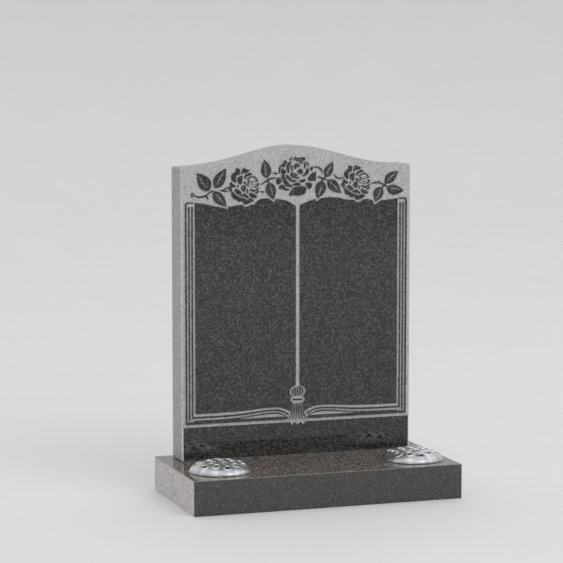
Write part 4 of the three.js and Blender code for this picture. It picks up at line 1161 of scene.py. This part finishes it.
def rough_granite(name, colour, grain_size, tones, pit_depth, roughness):
    """Pale stone with its grain bruised or sawn, and fine pits."""
    material, tree, shader = new_material(name)
    grain = granite_nodes(tree, grain_size)
    base = tone_ramp(tree, grain["Mineral"], colour, tones)
    fine = spread(tree, grain["Pits"], PITS["range"], PITS["tones"])
    base = mixed(tree, 1.0, base, fine, "MULTIPLY")
    cloud = math_of(tree, "MULTIPLY", grain["Cloud"], DULL_CLOUD["share"])
    base = mixed(tree, cloud, base, DULL_CLOUD["tint"], "MULTIPLY")
    tree.links.new(base, shader.inputs["Base Color"])
    shader.inputs["Roughness"].default_value = roughness
    inputs = {"Height": grain["Pits"], "Strength": PITS["strength"], "Distance": pit_depth}
    bump = add_node(tree, "ShaderNodeBump", inputs)
    tree.links.new(bump.outputs["Normal"], shader.inputs["Normal"])
    return material


def granite_finishes(scene):
    """The stone's finishes by name, made once and shared by the tablet and the base."""
    if FINISHES:
        return FINISHES
    colours = scene.memorial_colours
    coarse = scene.memorial_sizes.grain_size
    fine = coarse * BASE_GRAIN
    FINISHES["polished"] = polished_granite("Polished tablet", colours.polished, coarse, DARK_GRAIN, 0.55)
    FINISHES["base_front"] = polished_granite("Polished front", colours.base_front, fine, EVEN_GRAIN, 0.25)
    # The top's lighter colour paints the sky light that falls on it and its reflection.
    FINISHES["base_top"] = polished_granite("Polished top", colours.base_top, coarse, DARK_GRAIN, 0.3)
    FINISHES["blasted"] = rough_granite("Blasted field", colours.blasted, coarse, BRUISED_GRAIN, 0.0008, 0.9)
    FINISHES["sawn"] = rough_granite("Sawn tablet", colours.sawn, coarse, SAWN_GRAIN, 0.0004, 0.75)
    FINISHES["base_sawn"] = rough_granite("Sawn base", colours.base_sawn, coarse, SAWN_GRAIN, 0.0004, 0.75)
    # The pale arris colour paints the highlight along the tablet's chamfered edges.
    FINISHES["arris"] = rough_granite("Arris with painted highlight", colours.arris, coarse, BRUISED_GRAIN, 0.0003, 0.5)
    FINISHES["base_arris"] = rough_granite(
        "Eased arris", colours.base_arris, fine, BRUISED_GRAIN, 0.0002, 0.4)
    return FINISHES


def spun_aluminium(colours):
    """Bright metal with the fine rings that spinning leaves, and radial streaks of painted reflection in its
    colour.
    """
    material, tree, shader = new_material("Spun aluminium")
    radius = add_node(tree, "ShaderNodeAttribute", attribute_name=SPIN).outputs["Fac"]
    rings = math_of(tree, "MULTIPLY", radius, RINGS["per_metre"])
    inputs = {"W": rings, "Scale": 1.0, "Detail": 2.0}
    marks = add_node(tree, "ShaderNodeTexNoise", inputs, noise_dimensions="1D")
    place = add_node(tree, "ShaderNodeTexCoord").outputs["Object"]
    smears = add_node(tree, "ShaderNodeTexNoise", {"Vector": place, "Scale": SMEARS["scale"], "Detail": 3.0})
    tone = spread(tree, smears.outputs["Fac"], SMEARS["range"], SMEARS["tones"])
    metal = mixed(tree, 1.0, (*colours.metal, 1), tone, "MULTIPLY")
    # Painted reflection: light and dark radial streaks multiplied into the metal's colour stand in for the
    # surroundings that the lids reflect.
    way = add_node(tree, "ShaderNodeAttribute", attribute_name=SPIN_WAY).outputs["Vector"]
    reflection_streaks = add_node(tree, "ShaderNodeTexNoise", {"Vector": way, "Scale": PAINTED_REFLECTION["scale"], "Detail": 2.0})
    painted_reflection = spread(tree, reflection_streaks.outputs["Fac"], PAINTED_REFLECTION["range"], PAINTED_REFLECTION["tones"])
    metal = mixed(tree, 1.0, metal, painted_reflection, "MULTIPLY")
    tree.links.new(metal, shader.inputs["Base Color"])
    blur = spread(tree, smears.outputs["Fac"], METAL_ROUGHNESS["range"], METAL_ROUGHNESS["spread"])
    tree.links.new(blur, shader.inputs["Roughness"])
    shader.inputs["Metallic"].default_value = 1.0
    inputs = {"Height": marks.outputs["Fac"], "Strength": RINGS["strength"], "Distance": RINGS["depth"]}
    bump = add_node(tree, "ShaderNodeBump", inputs)
    tree.links.new(bump.outputs["Normal"], shader.inputs["Normal"])
    return material


def studio_floor(stage, colours):
    """Round pale floor that rises softly into a backdrop."""
    deselect_all()
    bpy.ops.mesh.primitive_circle_add(vertices=FLOOR_SIDES, radius=stage.floor_radius, fill_type="NGON")
    floor = bpy.context.object
    floor.name = "studio_floor"
    bpy.ops.object.mode_set(mode="EDIT")
    bpy.ops.mesh.select_mode(type="EDGE")
    bpy.ops.mesh.select_all(action="SELECT")
    bpy.ops.mesh.region_to_loop()
    for step in range(1, BACKDROP_STEPS + 1):
        turn = BACKDROP_TURN * step / BACKDROP_STEPS
        radius = stage.floor_radius + BACKDROP_BEND * math.sin(turn)
        height = BACKDROP_BEND * (1 - math.cos(turn))
        grow_ring(lambda co: at_radius(co, radius, height))
    bpy.ops.mesh.select_all(action="SELECT")
    bpy.ops.mesh.normals_make_consistent(inside=False)
    bpy.ops.object.mode_set(mode="OBJECT")
    bpy.ops.object.shade_smooth()
    material, tree, shader = new_material("Pale floor")
    place = add_node(tree, "ShaderNodeTexCoord").outputs["Object"]
    inputs = {"Vector": place, "Scale": FLOOR_MOTTLE["scale"], "Detail": 2.0}
    mottle = add_node(tree, "ShaderNodeTexNoise", inputs)
    tone = spread(tree, mottle.outputs["Fac"], FLOOR_MOTTLE["range"], FLOOR_MOTTLE["tones"])
    colour = mixed(tree, 1.0, (*colours.floor, 1), tone, "MULTIPLY")
    tree.links.new(colour, shader.inputs["Base Color"])
    shader.inputs["Roughness"].default_value = FLOOR_ROUGHNESS
    floor.data.materials.append(material)


def soft_light(name, place, target, size, watts):
    """A large square lamp that looks at a point."""
    deselect_all()
    aim = (Vector(target) - Vector(place)).to_track_quat("-Z", "Y").to_euler()
    bpy.ops.object.light_add(type="AREA", location=place, rotation=aim)
    lamp = bpy.context.object
    lamp.name = name
    lamp.data.size = size
    lamp.data.energy = watts


def studio_sky(stage):
    """Soft light from all round, stronger from above."""
    world = bpy.data.worlds.new("Soft studio")
    world.use_nodes = True
    tree = world.node_tree
    background = tree.nodes["Background"]
    background.inputs["Color"].default_value = (*SKY_COLOUR, 1)
    way = add_node(tree, "ShaderNodeTexCoord").outputs["Generated"]
    height = add_node(tree, "ShaderNodeSeparateXYZ", {0: way}).outputs["Z"]
    glow = spread(tree, height, UNIT, (stage.horizon, stage.zenith))
    tree.links.new(glow, background.inputs["Strength"])
    bpy.context.scene.world = world


def viewpoint():
    """Camera where the photographer stood."""
    deselect_all()
    turn = (math.radians(90 + CAMERA_PITCH), 0, math.radians(-CAMERA_YAW))
    bpy.ops.object.camera_add(location=CAMERA_PLACE, rotation=turn)
    camera = bpy.context.object
    camera.data.lens = CAMERA_LENS
    camera.data.sensor_width = SENSOR_WIDTH
    bpy.context.scene.camera = camera


class MEMORIAL_OT_tablet(bpy.types.Operator):
    """Carve the upright tablet with its open book and roses"""

    bl_idname = "memorial.tablet"
    bl_label = "Carved tablet"

    def execute(self, context):
        build_tablet(context.scene.memorial_sizes, granite_finishes(context.scene))
        return {"FINISHED"}


class MEMORIAL_OT_base(bpy.types.Operator):
    """Cut the base block and its flower wells"""

    bl_idname = "memorial.base"
    bl_label = "Base block"

    def execute(self, context):
        build_base(context.scene.memorial_sizes, granite_finishes(context.scene))
        return {"FINISHED"}


class MEMORIAL_OT_lids(bpy.types.Operator):
    """Spin and pierce the two lids over the flower wells"""

    bl_idname = "memorial.lids"
    bl_label = "Pierced lids"

    def execute(self, context):
        build_lids(context.scene.memorial_sizes, spun_aluminium(context.scene.memorial_colours))
        return {"FINISHED"}


class MEMORIAL_OT_stage(bpy.types.Operator):
    """Set up the floor, the light and the camera"""

    bl_idname = "memorial.stage"
    bl_label = "Studio"

    def execute(self, context):
        stage = context.scene.memorial_stage
        studio_floor(stage, context.scene.memorial_colours)
        studio_sky(stage)
        soft_light("front_light", KEY_PLACE, LIGHT_TARGET, KEY_SIZE, stage.key)
        viewpoint()
        context.scene.view_settings.view_transform = "Standard"
        return {"FINISHED"}


OPERATORS = (MEMORIAL_OT_tablet, MEMORIAL_OT_base, MEMORIAL_OT_lids, MEMORIAL_OT_stage)
SETTINGS = {
    "memorial_sizes": MemorialSizes, "memorial_colours": MemorialColours, "memorial_stage": MemorialStage,
}


class MEMORIAL_PT_sidebar(bpy.types.Panel):
    """The memorial's pieces and settings"""

    bl_idname = "MEMORIAL_PT_sidebar"
    bl_label = "Granite memorial"
    bl_space_type = "VIEW_3D"
    bl_region_type = "UI"
    bl_category = "Memorial"

    def draw(self, context):
        for operator in OPERATORS:
            self.layout.operator(operator.bl_idname)
        for name, group in SETTINGS.items():
            settings = getattr(context.scene, name)
            for field in group.__annotations__:
                self.layout.prop(settings, field)


CLASSES = (*SETTINGS.values(), *OPERATORS, MEMORIAL_PT_sidebar)


def register():
    """Adds the settings, operators and panel to Blender."""
    for item in CLASSES:
        bpy.utils.register_class(item)
    for name, group in SETTINGS.items():
        setattr(bpy.types.Scene, name, bpy.props.PointerProperty(type=group))


def unregister():
    """Takes them out again."""
    for name in SETTINGS:
        delattr(bpy.types.Scene, name)
    for item in reversed(CLASSES):
        bpy.utils.unregister_class(item)


def main():
    """Builds every piece and the stage."""
    register()
    bpy.ops.memorial.tablet()
    bpy.ops.memorial.base()
    bpy.ops.memorial.lids()
    bpy.ops.memorial.stage()


if __name__ == "__main__":
    main()
